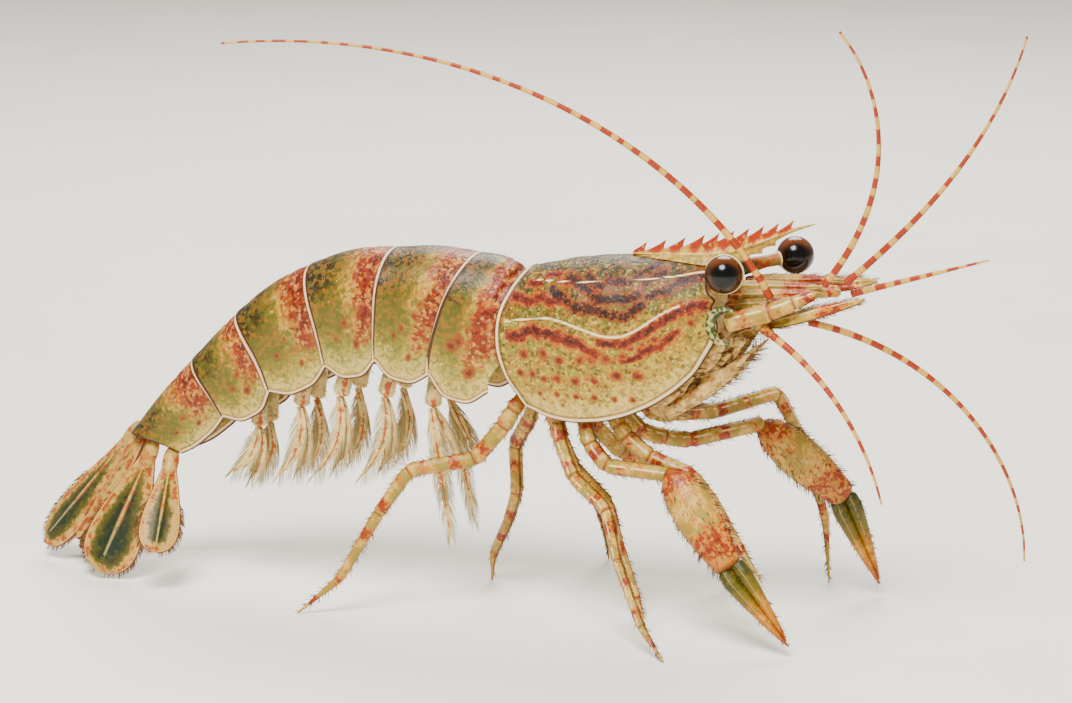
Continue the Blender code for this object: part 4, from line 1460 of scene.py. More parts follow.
# ---- limbs and blades
@dataclass
class Limb:
    """A jointed limb: one hard sleeve a segment, with a collar at its far end and a soft joint between.

    Attributes:
        joints: the joints' places, from root to tip.
        girths: the radius at each joint.
        facing: the way out of the plane that the limb bends in.
        flatness: thickness out of that plane, as a share of the radius.
        band_step: distance from one colour band to the next.
        seed: start of the limb's own random draws.
        sides: number of points round the limb.
        pointed: whether it thins to a point or ends blunt.
        corner: how far from a joint the limb's bend starts.
        collar: how far a segment's end swells, as a share of the radius.
        neck: how far the joint behind it narrows.
    """

    joints: Array
    girths: Numbers
    facing: Numbers
    flatness: float = 0.9
    band_step: float = 3.4
    seed: int = 0
    sides: int = 22
    pointed: bool = True
    corner: float = 1.1
    collar: float = 0.09
    neck: float = 0.10

    def route(self) -> tuple[Array, Array, Array, Array]:
        """Points along the limb with rounded corners, their reach, their radii and their nearness to a joint.

        Returns:
            The points and those three values for each of them.
        """
        corners = [self.joints[0]]
        for before, joint, after in zip(self.joints, self.joints[1:], self.joints[2:]):
            back, on = before - joint, after - joint
            cut = min(self.corner, 0.35 * np.linalg.norm(back), 0.35 * np.linalg.norm(on))
            t = np.linspace(0, 1, 9)[:, None]
            start, end = joint + unit(back) * cut, joint + unit(on) * cut
            corners += list((1 - t) ** 2 * start + 2 * t * (1 - t) * joint + t ** 2 * end)
        corners.append(self.joints[-1])
        dense = np.array(corners)
        total = float(travelled(dense)[-1])
        ends = np.array([0.0, 0.03, 0.1, 0.22]) * self.girths[0]
        reach = np.concatenate([ends, np.linspace(0.4 * self.girths[0], total, max(30, round(total / 0.16)))])
        places = travelled(self.joints)
        places = places * total / places[-1]
        radii = np.interp(reach, places, self.girths)
        radii = np.where(reach < ends[-1], radii * np.sqrt(np.clip(reach / ends[-1], 0.02, 1)), radii)
        near = np.zeros_like(reach)
        for place, girth in zip(places[1:-1], self.girths[1:-1]):
            away = (reach - place) / girth
            collar = self.collar * np.exp(-((away + 0.55) / 0.4) ** 2)
            radii = radii * (1 + collar - self.neck * np.exp(-((away - 0.1) / 0.22) ** 2))
            near = np.maximum(near, np.exp(-((away - 0.05) / 0.26) ** 2))
        if self.pointed:
            radii = radii * np.interp(reach, [places[-2], total], [1.0, 0.35])
        else:
            radii = radii * np.sqrt(np.clip((total - reach) / (0.5 * self.girths[-1]), 0.02, 1))
        return at_reach(dense, reach), reach, radii, near

    def add_to(self, skin: Skin, bristles: Skin, thick: float = 0.55, long: float = 0.8,
               bristle_radius: float = 0.034) -> None:
        """Adds the limb to one skin and its bristles to another.

        Args:
            skin: takes the sleeves.
            bristles: takes the bristles.
            thick: how densely they stand.
            long: the longest bristle.
            bristle_radius: radius of a bristle's root.
        """
        rng = np.random.default_rng(self.seed)
        turn = around(self.sides)
        phase = rng.uniform(0, 2 * math.pi)
        route, reach, radii, near = self.route()
        grid = sweep(route, radii, radii * self.flatness, self.facing, self.sides)
        # The ridge value is a narrow line along one side of the sleeve, faded at the joints, not a raised ridge:
        # the hard limb finish lays a painted highlight line on it, the soft finish its orange streak.
        skin.add_grid(grid, {
            "along": (reach / reach[-1])[:, None], "band": reach_band(reach, phase, self.band_step)[:, None],
            "joint": near[:, None], "edge": np.abs(np.cos(turn)) ** 6,
            "ridge": np.clip(np.sin(turn + 0.35), 0, 1) ** 40 * (1 - near[:, None])})
        self.add_hair(bristles, grid, reach, float(reach[-1]), rng, thick, long, bristle_radius)

    def add_hair(self, bristles: Skin, grid: Array, reach: Array, total: float, rng: np.random.Generator,
                 thick: float, long: float, radius: float = 0.034) -> None:
        """Adds bristles to one sleeve, most of them along its two edges, leaning to the limb's tip.

        Args:
            bristles: takes them.
            grid: the sleeve's rings.
            reach: how far along the limb each ring lies.
            total: the limb's whole length.
            rng: draws their places and lengths.
            thick: how densely they stand.
            long: the longest.
            radius: of a bristle's root.
        """
        count = int((reach[-1] - reach[0]) * thick * 8)
        if count == 0:
            return
        rows = rng.integers(2, max(3, len(grid) - 2), count)
        side = rng.choice([0.0, math.pi, rng.uniform(0, 6.28)], count, p=[0.4, 0.4, 0.2])
        angle = side + rng.normal(0, 0.35, count)
        columns = np.round(angle / (2 * math.pi) * self.sides).astype(int) % self.sides
        roots = grid[rows, columns]
        outward = unit(roots - grid.mean(axis=1)[rows])
        forward = unit(np.gradient(grid.mean(axis=1), axis=0))[rows]
        lean = rng.uniform(0.5, 1.3, count)[:, None]
        lengths = long * rng.uniform(0.45, 1.0, count)
        unwrap = np.column_stack([reach[rows] / total, columns / self.sides])
        bristles.add_bristles(roots, outward + forward * lean, lengths, radius, forward * 0.25, unwrap, rng)


def reach_band(reach: Array, phase: float, step: float) -> Array:
    """Colour bands along a limb, uneven in length: two waves that drift in and out of step."""
    share = reach / step
    return 0.7 * np.cos(2 * math.pi * share + phase) + 0.5 * np.cos(4.6 * share + 2.3 * phase) - 0.1


@dataclass
class Leaf:
    """A thin blade with a ribbed face, such as a tail blade, a feeler's scale or a swimming leg's branch.

    Attributes:
        root: the blade's root.
        tip: its tip.
        facing: the way its back faces.
        half_width: half its greatest width.
        outline: share of the half width at each fraction of the length.
        thickness: half thickness at the margin and at the midrib.
        camber: how far the margins fall below the middle, as a share of the half width.
        ribs: number of fine ribs on each side of the midrib.
        bend: how far the middle bows aside, as a share of the length.
    """

    root: Numbers
    tip: Numbers
    facing: Numbers
    half_width: float
    outline: Knots
    thickness: tuple[float, float] = (0.09, 0.24)
    camber: float = 0.16
    ribs: int = 0
    bend: float = 0.0
    rows: int = 70
    columns: int = 26

    def axes(self) -> tuple[Array, Array, Array, float]:
        """Unit vectors along, across and out of the blade, and its length.

        Returns:
            The three unit vectors and the length.
        """
        line = np.subtract(self.tip, self.root)
        forward = unit(line)
        across = unit(np.cross(self.facing, forward))
        return forward, across, np.cross(forward, across), float(np.linalg.norm(line))

    def half_at(self, t: Array) -> Array:
        """Half the blade's width at reach t."""
        return self.half_width * np.maximum(curve_interp(self.outline, t), 0.02)

    def surface(self, t: Array, v: Array, lift: Array) -> Array:
        """Points on the blade.

        Args:
            t: reach along the blade, from 0 to 1.
            v: place across it, from -1 to 1.
            lift: height above the blade's middle layer.

        Returns:
            The points.
        """
        forward, across, out, length = self.axes()
        half = self.half_at(t)
        fall = -self.camber * self.half_width * v ** 2 * rise(t, 0, 0.3)
        aside = half * v + 4 * self.bend * length * t * (1 - t)
        return (np.asarray(self.root, dtype=float) + forward * (length * t)[..., None]
                + across * aside[..., None] + out * (fall + lift)[..., None])

    def add_to(self, skin: Skin) -> None:
        """Adds the blade as one closed wall.

        Args:
            skin: takes it.
        """
        shape = (self.rows, self.columns)
        t = fill(crowd_ends(self.rows, 0.5)[:, None], shape)
        v = fill(np.sin(np.linspace(-math.pi / 2, math.pi / 2, self.columns)), shape)
        edge, rib = self.thickness
        ridge = np.exp(-(v / 0.13) ** 2)
        swell = np.sqrt(np.clip(1 - v ** 2, 0, 1)) ** 0.6
        fine = 0.03 * np.cos(v * math.pi * self.ribs) if self.ribs else 0.0
        body = (edge + (rib - edge) * ridge + fine) * (0.25 + 0.75 * swell)
        lift = body * (0.4 + 0.6 * rise(1 - t, 0, 0.08))
        rim = np.minimum((1 - np.abs(v)) * self.half_at(t), (1.02 - t) * self.axes()[3])
        grid = np.concatenate([self.surface(t, v, lift), self.surface(t, v, -lift * 0.8)[:, ::-1]], axis=1)
        values = {"along": t, "rim": rim, "ridge": ridge * (1 - rise(t, 0.9, 1.0)),
                  "edge": rise(np.abs(v), 0.5, 1.0), "band": np.cos(t * 9.0), "joint": 0 * t}
        skin.add_grid(grid, {name: np.hstack([value, value[:, ::-1]]) for name, value in values.items()})

    def add_fringe(self, bristles: Skin, count: int, long: float, radius: float, seed: int, start: float,
                   sides: Sequence[int] = (-1, 1), lean: float = 0.9, jitter: float = 0.12) -> None:
        """Adds a fringe of bristles along the blade's margins.

        Args:
            bristles: takes them.
            count: bristles on each margin.
            long: the length of the longest.
            radius: of a bristle's root.
            seed: start of the random draws.
            start: fraction of the length where the fringe starts.
            sides: which margins, -1 and 1.
            lean: how much a bristle leans towards the tip.
            jitter: how unevenly they stand.
        """
        rng = np.random.default_rng(seed)
        forward, across, out, _ = self.axes()
        for side in sides:
            t = np.sort(rng.uniform(start, 1.0, count))
            roots = self.surface(t, np.full(count, 0.98 * side), np.zeros(count))
            before = self.surface(np.maximum(t - 0.02, 0), np.full(count, 0.98 * side), np.zeros(count))
            along = unit(roots - before)
            outward = unit(np.cross(along, out)) * side
            outward *= np.sign(np.sum(outward * across, axis=1) * side)[:, None]
            ahead = outward + forward * lean + along * 0.3 + rng.normal(0, jitter, (count, 3))
            lengths = long * rng.uniform(0.6, 1.0, count) * (0.55 + 0.45 * np.sin(math.pi * np.clip(t, 0, 1)))
            unwrap = np.column_stack([t, np.full(count, 0.5 + 0.48 * side)])
            bristles.add_bristles(roots, ahead, lengths, radius, forward * 0.35 - out * 0.05, unwrap, rng)


# ---- feelers
@dataclass
class Whip:
    """One ringed, tapering feeler with its colour bands.

    Attributes:
        root: where it leaves its stem.
        length: its whole length.
        root_pitch: its pitch there, in degrees from +X.
        tip_pitch: its pitch at the tip.
        turning: how soon it turns from one to the other; below 1 it turns near its root.
        lean: how far it goes to the left for each step ahead.
    """

    root: Numbers
    length: float
    root_pitch: float
    tip_pitch: float
    turning: float
    lean: float
    root_radius: float = 0.42
    tip_radius: float = 0.12
    route_step: float = 2.4
    ring_step: float = 0.42
    band_step: float = 2.3
    sides: int = 12

    def route(self) -> Array:
        """Points along the feeler, which turns steadily from one pitch to another.

        Returns:
            The points, one row each.
        """
        steps = round(self.length / self.route_step)
        places = [np.array(self.root)]
        for i in range(steps):
            pitch = self.root_pitch + (self.tip_pitch - self.root_pitch) * ((i + 0.5) / steps) ** self.turning
            ahead, up = heading(pitch)
            places.append(places[-1] + unit(np.array([ahead, self.lean, up])) * self.length / steps)
        return np.array(places)

    def build(self, node: str, material: Material, seed: int) -> None:
        """Builds the feeler that stands for one CAD node.

        Args:
            node: the CAD node.
            material: its finish.
            seed: start of the random draws.
        """
        rng = np.random.default_rng(seed)
        route, reach = even_route(self.route(), self.ring_step / 4)
        t = reach / reach[-1]
        phase = (reach / self.ring_step) % 1.0
        taper = np.interp(t, [0, 0.04, 0.5, 1.0], [1.12, 0.98, 0.66, self.tip_radius / self.root_radius])
        radii = self.root_radius * taper * (0.93 + 0.11 * phase ** 2)
        radii[0] *= 0.3
        grid = sweep(route, radii, radii, (0, -1, 0.2), self.sides)
        edges = np.cumsum(rng.uniform(0.30, 0.70, 2 * int(reach[-1] / self.band_step) + 4)) * self.band_step
        sign = np.where(np.searchsorted(edges, reach) % 2 == 0, 1.0, -1.0)
        near = np.min(np.abs(reach[:, None] - edges[None, :]), axis=1)
        band = sign * np.clip(near / 0.22, 0, 1)
        turn = around(self.sides)
        skin = Skin.tube(grid, {
            "band": band[:, None], "ring": phase[:, None], "edge": np.abs(np.cos(turn)) ** 4})
        skin.build(f"feeler_{node}", material, Slot.FEELER, node)


WHIPS = {
    "antenna_flagellum_right": Whip((28.3, -3.5, 38.2), 68.0, 112, 186, 0.75, -0.27),
    "antenna_flagellum_left": Whip((29.8, 4.8, 34.2), 39.5, -12, -94, 1.1, 0.27),
    "antennule_upper_right": Whip((33.9, -2.6, 39.8), 30.0, 52, 130, 1.3, -0.08),
    "antennule_lower_right": Whip((28.5, -3.5, 34.2), 22.0, -30, -72, 1.0, -0.14),
    "antennule_upper_left": Whip((35.0, 1.5, 39.4), 33.0, 43, 77, 1.5, 0.19),
    "antennule_lower_left": Whip((35.3, 2.5, 38.1), 15.5, 17, 17, 1.0, 0.07),
}


@dataclass
class HeadStems:
    """Stems of both pairs of feelers, the scales beside them and the cup round the near ones."""

    antennule_routes: dict[str, Knots] = field(default_factory=lambda: {
        "right": [(23.6, -4.4, 35.3), (28.4, -4.1, 36.8), (33.1, -2.9, 38.9)],
        "left": [(22.6, 1.5, 37.9), (28.6, 1.9, 38.0), (34.3, 2.2, 38.4)]})
    antennule_radii: dict[str, Numbers] = field(default_factory=lambda: {
        "right": (1.05, 1.1, 1.0, 0.8, 0.55), "left": (1.0, 1.0, 0.9, 0.8, 0.6)})
    antenna_routes: dict[str, Knots] = field(default_factory=lambda: {
        "right": [(23.4, -1.8, 35.6), (25.7, -1.9, 36.3), (27.9, -2.4, 37.6)],
        "left": [(23.4, 3.0, 35.0), (26.2, 3.9, 34.8), (28.9, 4.6, 34.4)]})
    antenna_radii: Numbers = (1.15, 1.05, 0.85, 0.6)
    scales: dict[str, tuple] = field(default_factory=lambda: {
        "right": ((26.8, -2.5, 34.9), (38.7, -3.6, 38.9), (-0.3, -0.6, 0.75), 1.05),
        "left": ((23.9, 4.0, 37.6), (37.4, 5.2, 39.2), (0.1, -0.8, 0.6), 1.2)})
    scale_outline: Knots = ((0.0, 0.4), (0.12, 0.8), (0.4, 1.0), (0.7, 0.8), (0.9, 0.45), (1.0, 0.12))
    spurs: dict[str, Knots] = field(default_factory=lambda: {
        "antennule_peduncle_right": [(26.4, -3.7, 36.0), (27.4, -3.6, 35.1), (28.6, -3.5, 34.1)]})
    spur_girths: Numbers = (0.7, 0.7, 0.5)
    inner_blades: Sequence[tuple] = (
        ((22.6, -0.6, 38.7), (32.6, 1.2, 38.9), 0.75), ((22.8, -1.6, 37.8), (33.0, -0.6, 38.6), 0.7),
        ((22.9, -2.6, 36.9), (30.8, -2.4, 37.9), 0.65), ((23.6, 1.8, 39.0), (34.4, 3.4, 39.4), 0.7))
    cup_centre: Numbers = (24.2, -5.7, 35.2)
    cup_radius: float = 1.9
    cup_turn: tuple[float, float] = (70.0, 280.0)
    cup_width: float = 0.56

    def build(self, limb: Material, bristle: Material) -> None:
        """Builds the stems and scales of both sides.

        Args:
            limb: the finish of stems and scales.
            bristle: the bristles' finish.
        """
        socket = SoftCuticle("hard_cuticle_grown_socket", "#6C7632", "#3E5226", "#4A6030", cover=0.4)
        self.build_cup(socket.make())
        for side, turn in SIDES.items():
            hairs = Skin()
            self.build_stem(f"antennule_peduncle_{side}", self.antennule_routes[side],
                            self.antennule_radii[side], limb, hairs, 60 + turn)
            self.build_stem(f"antenna_peduncle_{side}", self.antenna_routes[side], self.antenna_radii,
                            limb, hairs, 70 + turn)
            root, tip, facing, half_width = self.scales[side]
            leaf = Leaf(root, tip, facing, half_width, self.scale_outline, ribs=3, rows=60, columns=24)
            skin = Skin()
            leaf.add_to(skin)
            skin.build(f"scale_{side}", limb, Slot.LIMB, f"antennal_scale_{side}")
            leaf.add_fringe(hairs, 70, 1.0, 0.035, 80 + turn, start=0.15, lean=1.1)
            if side == "right":
                blades = Skin()
                self.add_head_blades(blades, hairs)
                blades.build("head_blades", limb, Slot.LIMB)
            hairs.build(f"head_bristles_{side}", bristle, Slot.LIMB)

    def add_head_blades(self, skin: Skin, hairs: Skin) -> None:
        """Adds the narrow blades between the beak and the feelers' stems.

        Args:
            skin: takes the blades.
            hairs: takes the bristles.
        """
        for n, (root, tip, half) in enumerate(self.inner_blades):
            leaf = Leaf(root, tip, (0.05, -0.85, 0.5), half, self.scale_outline, ribs=2, rows=50, columns=20)
            leaf.add_to(skin)
            leaf.add_fringe(hairs, 40, 0.6, 0.03, 150 + n, start=0.2, sides=(1, -1), lean=1.2)

    def build_cup(self, material: Material) -> None:
        """Builds the crescent that holds the base of the right stem, and the rolled rim of that stem.

        Args:
            material: its finish.
        """
        skin = Skin()
        angles = np.linspace(*self.cup_turn, 12)
        ring = np.array([(*heading(angle), 0) for angle in angles])[:, [0, 2, 1]]
        route, reach = even_route(self.cup_centre + ring * self.cup_radius, 0.12)
        t = reach / reach[-1]
        width = self.cup_width * np.sin(math.pi * np.clip(t, 0.04, 0.96)) ** 0.5
        rims = 0.74 * np.abs(np.sin(np.linspace(0, 2 * math.pi, 20))) ** 6
        skin.add_grid(sweep(route, width, width * 0.8, (0, -1, 0), 20), {"ridge": 0, "edge": rims})
        skin.build("antenna_socket_right", material, Slot.LIMB)

    def build_stem(self, node: str, route: Knots, radii: Numbers, material: Material, hairs: Skin,
                   seed: int) -> None:
        """Builds one stem of three segments, the first much the longest.

        Args:
            node: the CAD node.
            route: the points that the stem runs through.
            radii: its radii from root to tip.
            material: its finish.
            hairs: takes the bristles.
            seed: start of the random draws.
        """
        fractions = np.array([0.0, 0.5, 0.76, 1.0])
        parts = [(curve_at(route, fractions), [float(level(radii, f)) for f in fractions])]
        if node in self.spurs:
            parts.append((np.array(self.spurs[node]), self.spur_girths))
        skin = Skin()
        for n, (joints, girths) in enumerate(parts):
            limb = Limb(joints, girths, (0, -1, 0.1), seed=seed + n, band_step=4.0, pointed=False)
            limb.add_to(skin, hairs, thick=0.5, long=0.6)
        skin.build(f"stem_{node}", material, Slot.LIMB, node)


# ---- mouth
@dataclass
class Mouth:
    """The mouthparts: jaw legs with combs of bristles over layered plates."""

    line: Knots = ((16.8, 0.0, 28.0), (19.8, 0.0, 30.3), (22.4, 0.0, 33.2))
    radii: Numbers = (0.9, 1.3, 1.4, 1.0)
    jaw_leg: Knots = ((14.3, 1.5, 26.0), (15.8, 1.9, 24.6), (21.0, 2.0, 27.6), (26.3, 1.7, 32.6))
    jaw_girths: Numbers = (0.7, 1.0, 1.05, 0.9, 0.75, 0.3)
    # Where the blades begin and which way they step; which way the jaw legs' combs run and stand.
    plate_start: Numbers = (14.6, 0.0, 25.6)
    plate_way: Numbers = (0.70, 0.0, 0.71)
    plate_out: Numbers = (0.71, 0.0, -0.70)
    comb_way: Numbers = (0.74, 0.0, 0.67)
    comb_out: Numbers = (0.67, 0.0, -0.74)
    comb_length: float = 11.0

    def build(self, material: Material, bristle: Material) -> None:
        """Builds the core, the plates beside it and the jaw legs.

        Args:
            material: its finish.
            bristle: the bristles' finish.
        """
        core = Skin()
        route, reach = even_route(self.line, 0.25)
        radii = level(self.radii, reach / reach[-1])
        core.add_grid(sweep(route, radii * 1.4, radii, (1, 0, -0.7), 24), {"edge": 0, "ridge": 0.2})
        hairs = Skin()
        for turn in SIDES.values():
            self.add_plates(core, hairs, turn)
        core.build("mouth_plates", material, Slot.MOUTH, "mouthparts")
        hairs.build("mouth_bristles", bristle, Slot.MOUTH)
        for side, turn in SIDES.items():
            skin, hairs = Skin(), Skin()
            joints = curve_at(self.jaw_leg, np.linspace(0, 1, len(self.jaw_girths))) * (1, turn, 1)
            limb = Limb(joints, self.jaw_girths, (0, turn, 0), flatness=0.75, seed=90 + turn)
            limb.add_to(skin, hairs, thick=1.6, long=1.5)
            skin.build(f"jaw_leg_{side}", material, Slot.MOUTH, f"maxilliped_{side}")
            self.add_comb(hairs, joints[2] + (0.4, 0, -0.3), np.array(self.comb_way), np.array(self.comb_out),
                          self.comb_length, 220 + turn)
            hairs.build(f"jaw_leg_bristles_{side}", bristle, Slot.MOUTH)

    def add_plates(self, skin: Skin, hairs: Skin, turn: int) -> None:
        """Adds the layered blades on one side, which point forward and up, with combs of spines.

        Args:
            skin: takes the blades.
            hairs: takes the bristles.
            turn: -1 for the right side, 1 for the left.
        """
        outline = ((0.0, 0.5), (0.25, 1.0), (0.6, 0.85), (0.9, 0.4), (1.0, 0.1))
        start, forward, out = (np.array(way) for way in (self.plate_start, self.plate_way, self.plate_out))
        rng = np.random.default_rng(130 + turn)
        for layer in range(4):
            for step in range(3 + (layer < 3)):
                root = start + forward * (2.7 * step + 0.9 * layer) + out * (0.15 + 0.55 * layer)
                root = root + (0, turn * (2.6 - 0.38 * layer), 0) + rng.normal(0, 0.12, 3)
                lean = forward + out * rng.uniform(0.05, 0.35) + (0, turn * 0.12, 0)
                leaf = Leaf(root, root + lean * rng.uniform(2.9, 3.7), (-0.2, turn, -0.25), 0.85, outline,
                            camber=0.3, rows=26, columns=14)
                leaf.add_to(skin)
                leaf.add_fringe(hairs, 14, 0.9, 0.035, 200 + 16 * layer + 4 * step + turn, start=0.3)
            self.add_comb(hairs, start + out * (0.4 + 0.6 * layer) + (0, turn * (2.5 - 0.4 * layer), 0),
                          forward, out, 9.5 - 0.6 * layer, 210 + layer)

    def add_comb(self, hairs: Skin, start: Array, forward: Array, out: Array, length: float, seed: int) -> None:
        """Adds a row of strong spines that stand forward off the edge of the mouthparts.

        Args:
            hairs: takes the spines.
            start: where the row starts.
            forward: the way it runs.
            out: the way the spines stand.
            length: of the row.
            seed: start of the random draws.
        """
        rng = np.random.default_rng(seed)
        count = round(length * 4)
        reach = np.sort(rng.uniform(0.2, length, count))
        roots = start + forward * reach[:, None] + out * 0.3 + rng.normal(0, 0.15, (count, 3))
        ahead = out * 0.6 + forward * rng.uniform(0.5, 1.0, count)[:, None]
        unwrap = np.column_stack([reach / length, np.full(count, 0.5)])
        hairs.add_bristles(roots, ahead, rng.uniform(0.8, 1.8, count), 0.09, ahead * 0.12, unwrap, rng)


# ---- legs and claws
# Shares of a walking leg's length taken by its six segments.
LEG_SHARES = (0.06, 0.14, 0.21, 0.17, 0.25, 0.17)
LegPlan = tuple[Numbers, Numbers, float, float, Numbers]
# Each walking leg: its root in the breast, hip, heading of the plane it bends in, length, and pitches.
WALKING_LEGS: dict[str, LegPlan] = {
    "leg_5_right": ((-0.5, -1.7, 25.2), (-1.5, -3.0, 23.4), -160, 35, (-60, -50, -10, -55, -60, -40)),
    "leg_5_left": ((-0.5, 1.7, 25.2), (-2.0, 3.2, 21.0), 138, 26, (-40, -45, -95, -60, -50, -85)),
    "leg_4_right": ((1.6, -1.2, 24.9), (2.2, 0.6, 21.4), 2, 26, (-75, -65, -42, -75, -70, -70)),
    "leg_4_left": ((1.6, 1.7, 24.7), (1.2, 2.6, 21.9), 94, 32, (-55, -55, -35, -25, -50, -70)),
    "leg_3_right": ((3.8, -1.8, 24.6), (3.8, -2.9, 22.4), -34, 32, (-75, -55, -20, -70, -55, -35)),
    "leg_3_left": ((3.9, 1.8, 24.6), (4.6, 3.0, 21.8), 49, 31, (-40, -45, -25, -50, -60, -60)),
    "leg_1_right": ((9.2, -1.7, 24.6), (10.6, -2.2, 22.6), 8, 24, (-55, -40, -20, -50, -60, -55)),
    "leg_1_left": ((11.2, 1.7, 24.8), (12.9, 3.2, 22.9), 56, 41, (-5, -5, 7, -58, -70, -85)),
}
HOVERING_LEGS = ("leg_1_right",)
# Each arm that carries a big claw: root, hip, heading, then the length and pitch of each segment.
ARMS = {
    "leg_2_right": ((6.4, -1.8, 24.6), (6.9, -2.9, 22.6), -8, [(2.2, -75), (3.2, -47), (8.2, 0)]),
    "leg_2_left": ((8.6, 1.8, 24.6), (11.1, 3.0, 21.0), 38, [(3.0, -20), (3.0, -10), (8.9, 9)]),
}


@dataclass
class Legs:
    """Five pairs of legs, the second pair carrying the big claws."""

    girths: Numbers = (0.72, 0.9, 0.92, 0.88, 0.8, 0.66, 0.52, 0.28)
    arm_girths: Numbers = (0.72, 0.92, 0.9, 0.85)
    sole: float = 0.06
    ARM_SEED = 20

    def build(self, material: Material, bristle: Material) -> None:
        """Builds every leg with its bristles.

        Args:
            material: its finish.
            bristle: the bristles' finish.
        """
        for number, (name, (root, hip, bearing, length, pitches)) in enumerate(WALKING_LEGS.items()):
            segments = [(length * share, pitch) for share, pitch in zip(LEG_SHARES, pitches)]
            if name not in HOVERING_LEGS:
                drop = hip[2] - self.sole + sum(reach * heading(pitch)[1] for reach, pitch in segments[:-1])
                segments[-1] = (-drop / heading(pitches[-1])[1], pitches[-1])
            self.build_leg(name, (root, hip, bearing, segments), self.girths, number, material, bristle)
        for number, (name, plan) in enumerate(ARMS.items()):
            self.build_leg(name, plan, self.arm_girths, self.ARM_SEED + number, material, bristle)

    def build_leg(self, name: str, plan: tuple, girths: Numbers, seed: int, material: Material,
                  bristle: Material) -> None:
        """Builds one leg; an arm ends blunt where the palm takes over.

        Args:
            name: the leg's CAD node.
            plan: its root, hip, heading and segments.
            girths: its radii from root to tip.
            seed: start of its random draws.
            material: its finish.
            bristle: its bristles' finish.
        """
        joints, bearing = self.joints(*plan), plan[2]
        radii = [float(level(girths, i / (len(joints) - 1))) for i in range(len(joints))]
        limb = Limb(joints, radii, (*heading(bearing - 90), 0), seed=seed, pointed=name in WALKING_LEGS)
        skin, hairs = Skin(), Skin()
        limb.add_to(skin, hairs, thick=1.0, long=0.75, bristle_radius=0.045)
        skin.build(f"walking_{name}", material, Slot.LIMB, name)
        hairs.build(f"bristles_{name}", bristle, Slot.LIMB)

    def joints(self, root: Numbers, hip: Numbers, bearing: float,
               segments: Sequence[tuple[float, float]]) -> Array:
        """The joints of a leg that bends in one upright plane.

        Args:
            root: where the leg leaves the breast.
            hip: its first joint.
            bearing: heading of the plane, in degrees.
            segments: length and pitch of each segment.

        Returns:
            The joints, one row each.
        """
        across = heading(bearing)
        joints = [np.array(root), np.array(hip)]
        for length, pitch in segments:
            ahead, up = heading(pitch)
            joints.append(joints[-1] + np.array([across[0] * ahead, across[1] * ahead, up]) * length)
        return np.array(joints)


@dataclass
class Claw:
    """One big claw: a swollen palm and two long fingers that close on each other."""

    side: str
    wrist: Numbers
    palm: Numbers
    tip: Numbers
    facing: Numbers = (0.30, -0.90, 0.25)
    profile: Knots = ((-0.06, 0.0), (-0.04, 0.5), (0.0, 0.95), (0.1, 1.75), (0.35, 2.4), (0.65, 2.3),
                      (0.88, 1.85), (1.0, 1.6), (1.05, 1.2), (1.07, 0.0))
    flatness: float = 0.72
    fingers: Sequence[tuple] = (("fixed_finger", -1, 1.0), ("moving_finger", 1, 0.94))
    finger_places: Numbers = (0, 0.15, 0.4, 0.7, 0.9, 1)
    finger_spread: Numbers = (1.5, 1.72, 1.38, 0.86, 0.44, 0.14)
    finger_girth: float = 0.53
    finger_apart: float = 0.49

    def build(self, palm_cuticle: Material, finger_cuticle: Material, bristle: Material) -> None:
        """Builds the palm, the fixed finger, the moving finger and their bristles.

        Args:
            palm_cuticle: the palm's finish.
            finger_cuticle: the fingers' finish.
            bristle: the bristles' finish.
        """
        wrist, palm, tip = (np.array(p, dtype=float) for p in (self.wrist, self.palm, self.tip))
        hairs = Skin()
        t = np.linspace(self.profile[0][0], self.profile[-1][0], 80)
        half = np.maximum(curve_interp(self.profile, t), 0.02)
        route = wrist + (palm - wrist) * t[:, None]
        sides, finger_sides = 40, 26
        grid = sweep(route, half, half * self.flatness, self.facing, sides)
        length = float(np.linalg.norm(palm - wrist))
        turn = around(sides)
        # The palm's ridge value is a dashed line along one side, not a raised ridge: the finish lays a painted
        # highlight line on it.
        skin = Skin.tube(grid, {
            "along": t[:, None], "band": (0.45 * np.cos(t * 7.2 + 0.1) + 0.15)[:, None],
            "joint": np.maximum(rise(t, 0.06, -0.02), rise(t, 0.96, 1.05))[:, None],
            "edge": np.abs(np.cos(turn)) ** 12,
            "ridge": np.exp(-((turn - 2.15) / 0.07) ** 2) * (np.cos(t * 7) > -0.7)[:, None]})
        skin.build(f"palm_{self.side}", palm_cuticle, Slot.LIMB, f"claw_palm_{self.side}")
        rng = np.random.default_rng(300 + SIDES[self.side])
        carrier = Limb(np.array([wrist, palm]), (1.0, 1.0), self.facing, sides=sides)
        carrier.add_hair(hairs, grid, t * length, length * 1.2, rng, 2.2, 0.95, 0.05)
        start = palm + unit(tip - palm) * 0.35
        forward, across = unit(tip - start), unit(np.cross(self.facing, unit(tip - start)))
        length = float(np.linalg.norm(tip - start))
        for name, turn_side, end in self.fingers:
            t = np.linspace(0, 1, 90)
            spread = np.interp(t, self.finger_places, self.finger_spread)
            half = self.finger_girth * spread * np.interp(t, [0, 0.04, 1], [0.6, 1, 1])
            aside = self.finger_apart * turn_side * spread
            route = start + forward * (length * end * t)[:, None] + across * aside[:, None]
            finger = sweep(route, half, half * 1.05, self.facing, finger_sides)
            ring = around(finger_sides)
            # The finger's ridge value is a line along one side that fades out near the tip, not a raised ridge:
            # the finish lays a painted highlight line on it.
            skin = Skin.tube(finger, {
                "along": t[:, None], "edge": np.abs(np.cos(ring)) ** 8,
                "ridge": np.exp(-((ring - 1.75) / 0.12) ** 2) * rise(t, 0.95, 0.7)[:, None]})
            skin.build(f"{name}_{self.side}", finger_cuticle, Slot.FINGER, f"claw_{name}_{self.side}")
            carrier.sides = finger_sides
            carrier.add_hair(hairs, finger, t * length, length * 1.2, rng, 1.0, 0.55, 0.04)
        hairs.build(f"claw_bristles_{self.side}", bristle, Slot.LIMB)


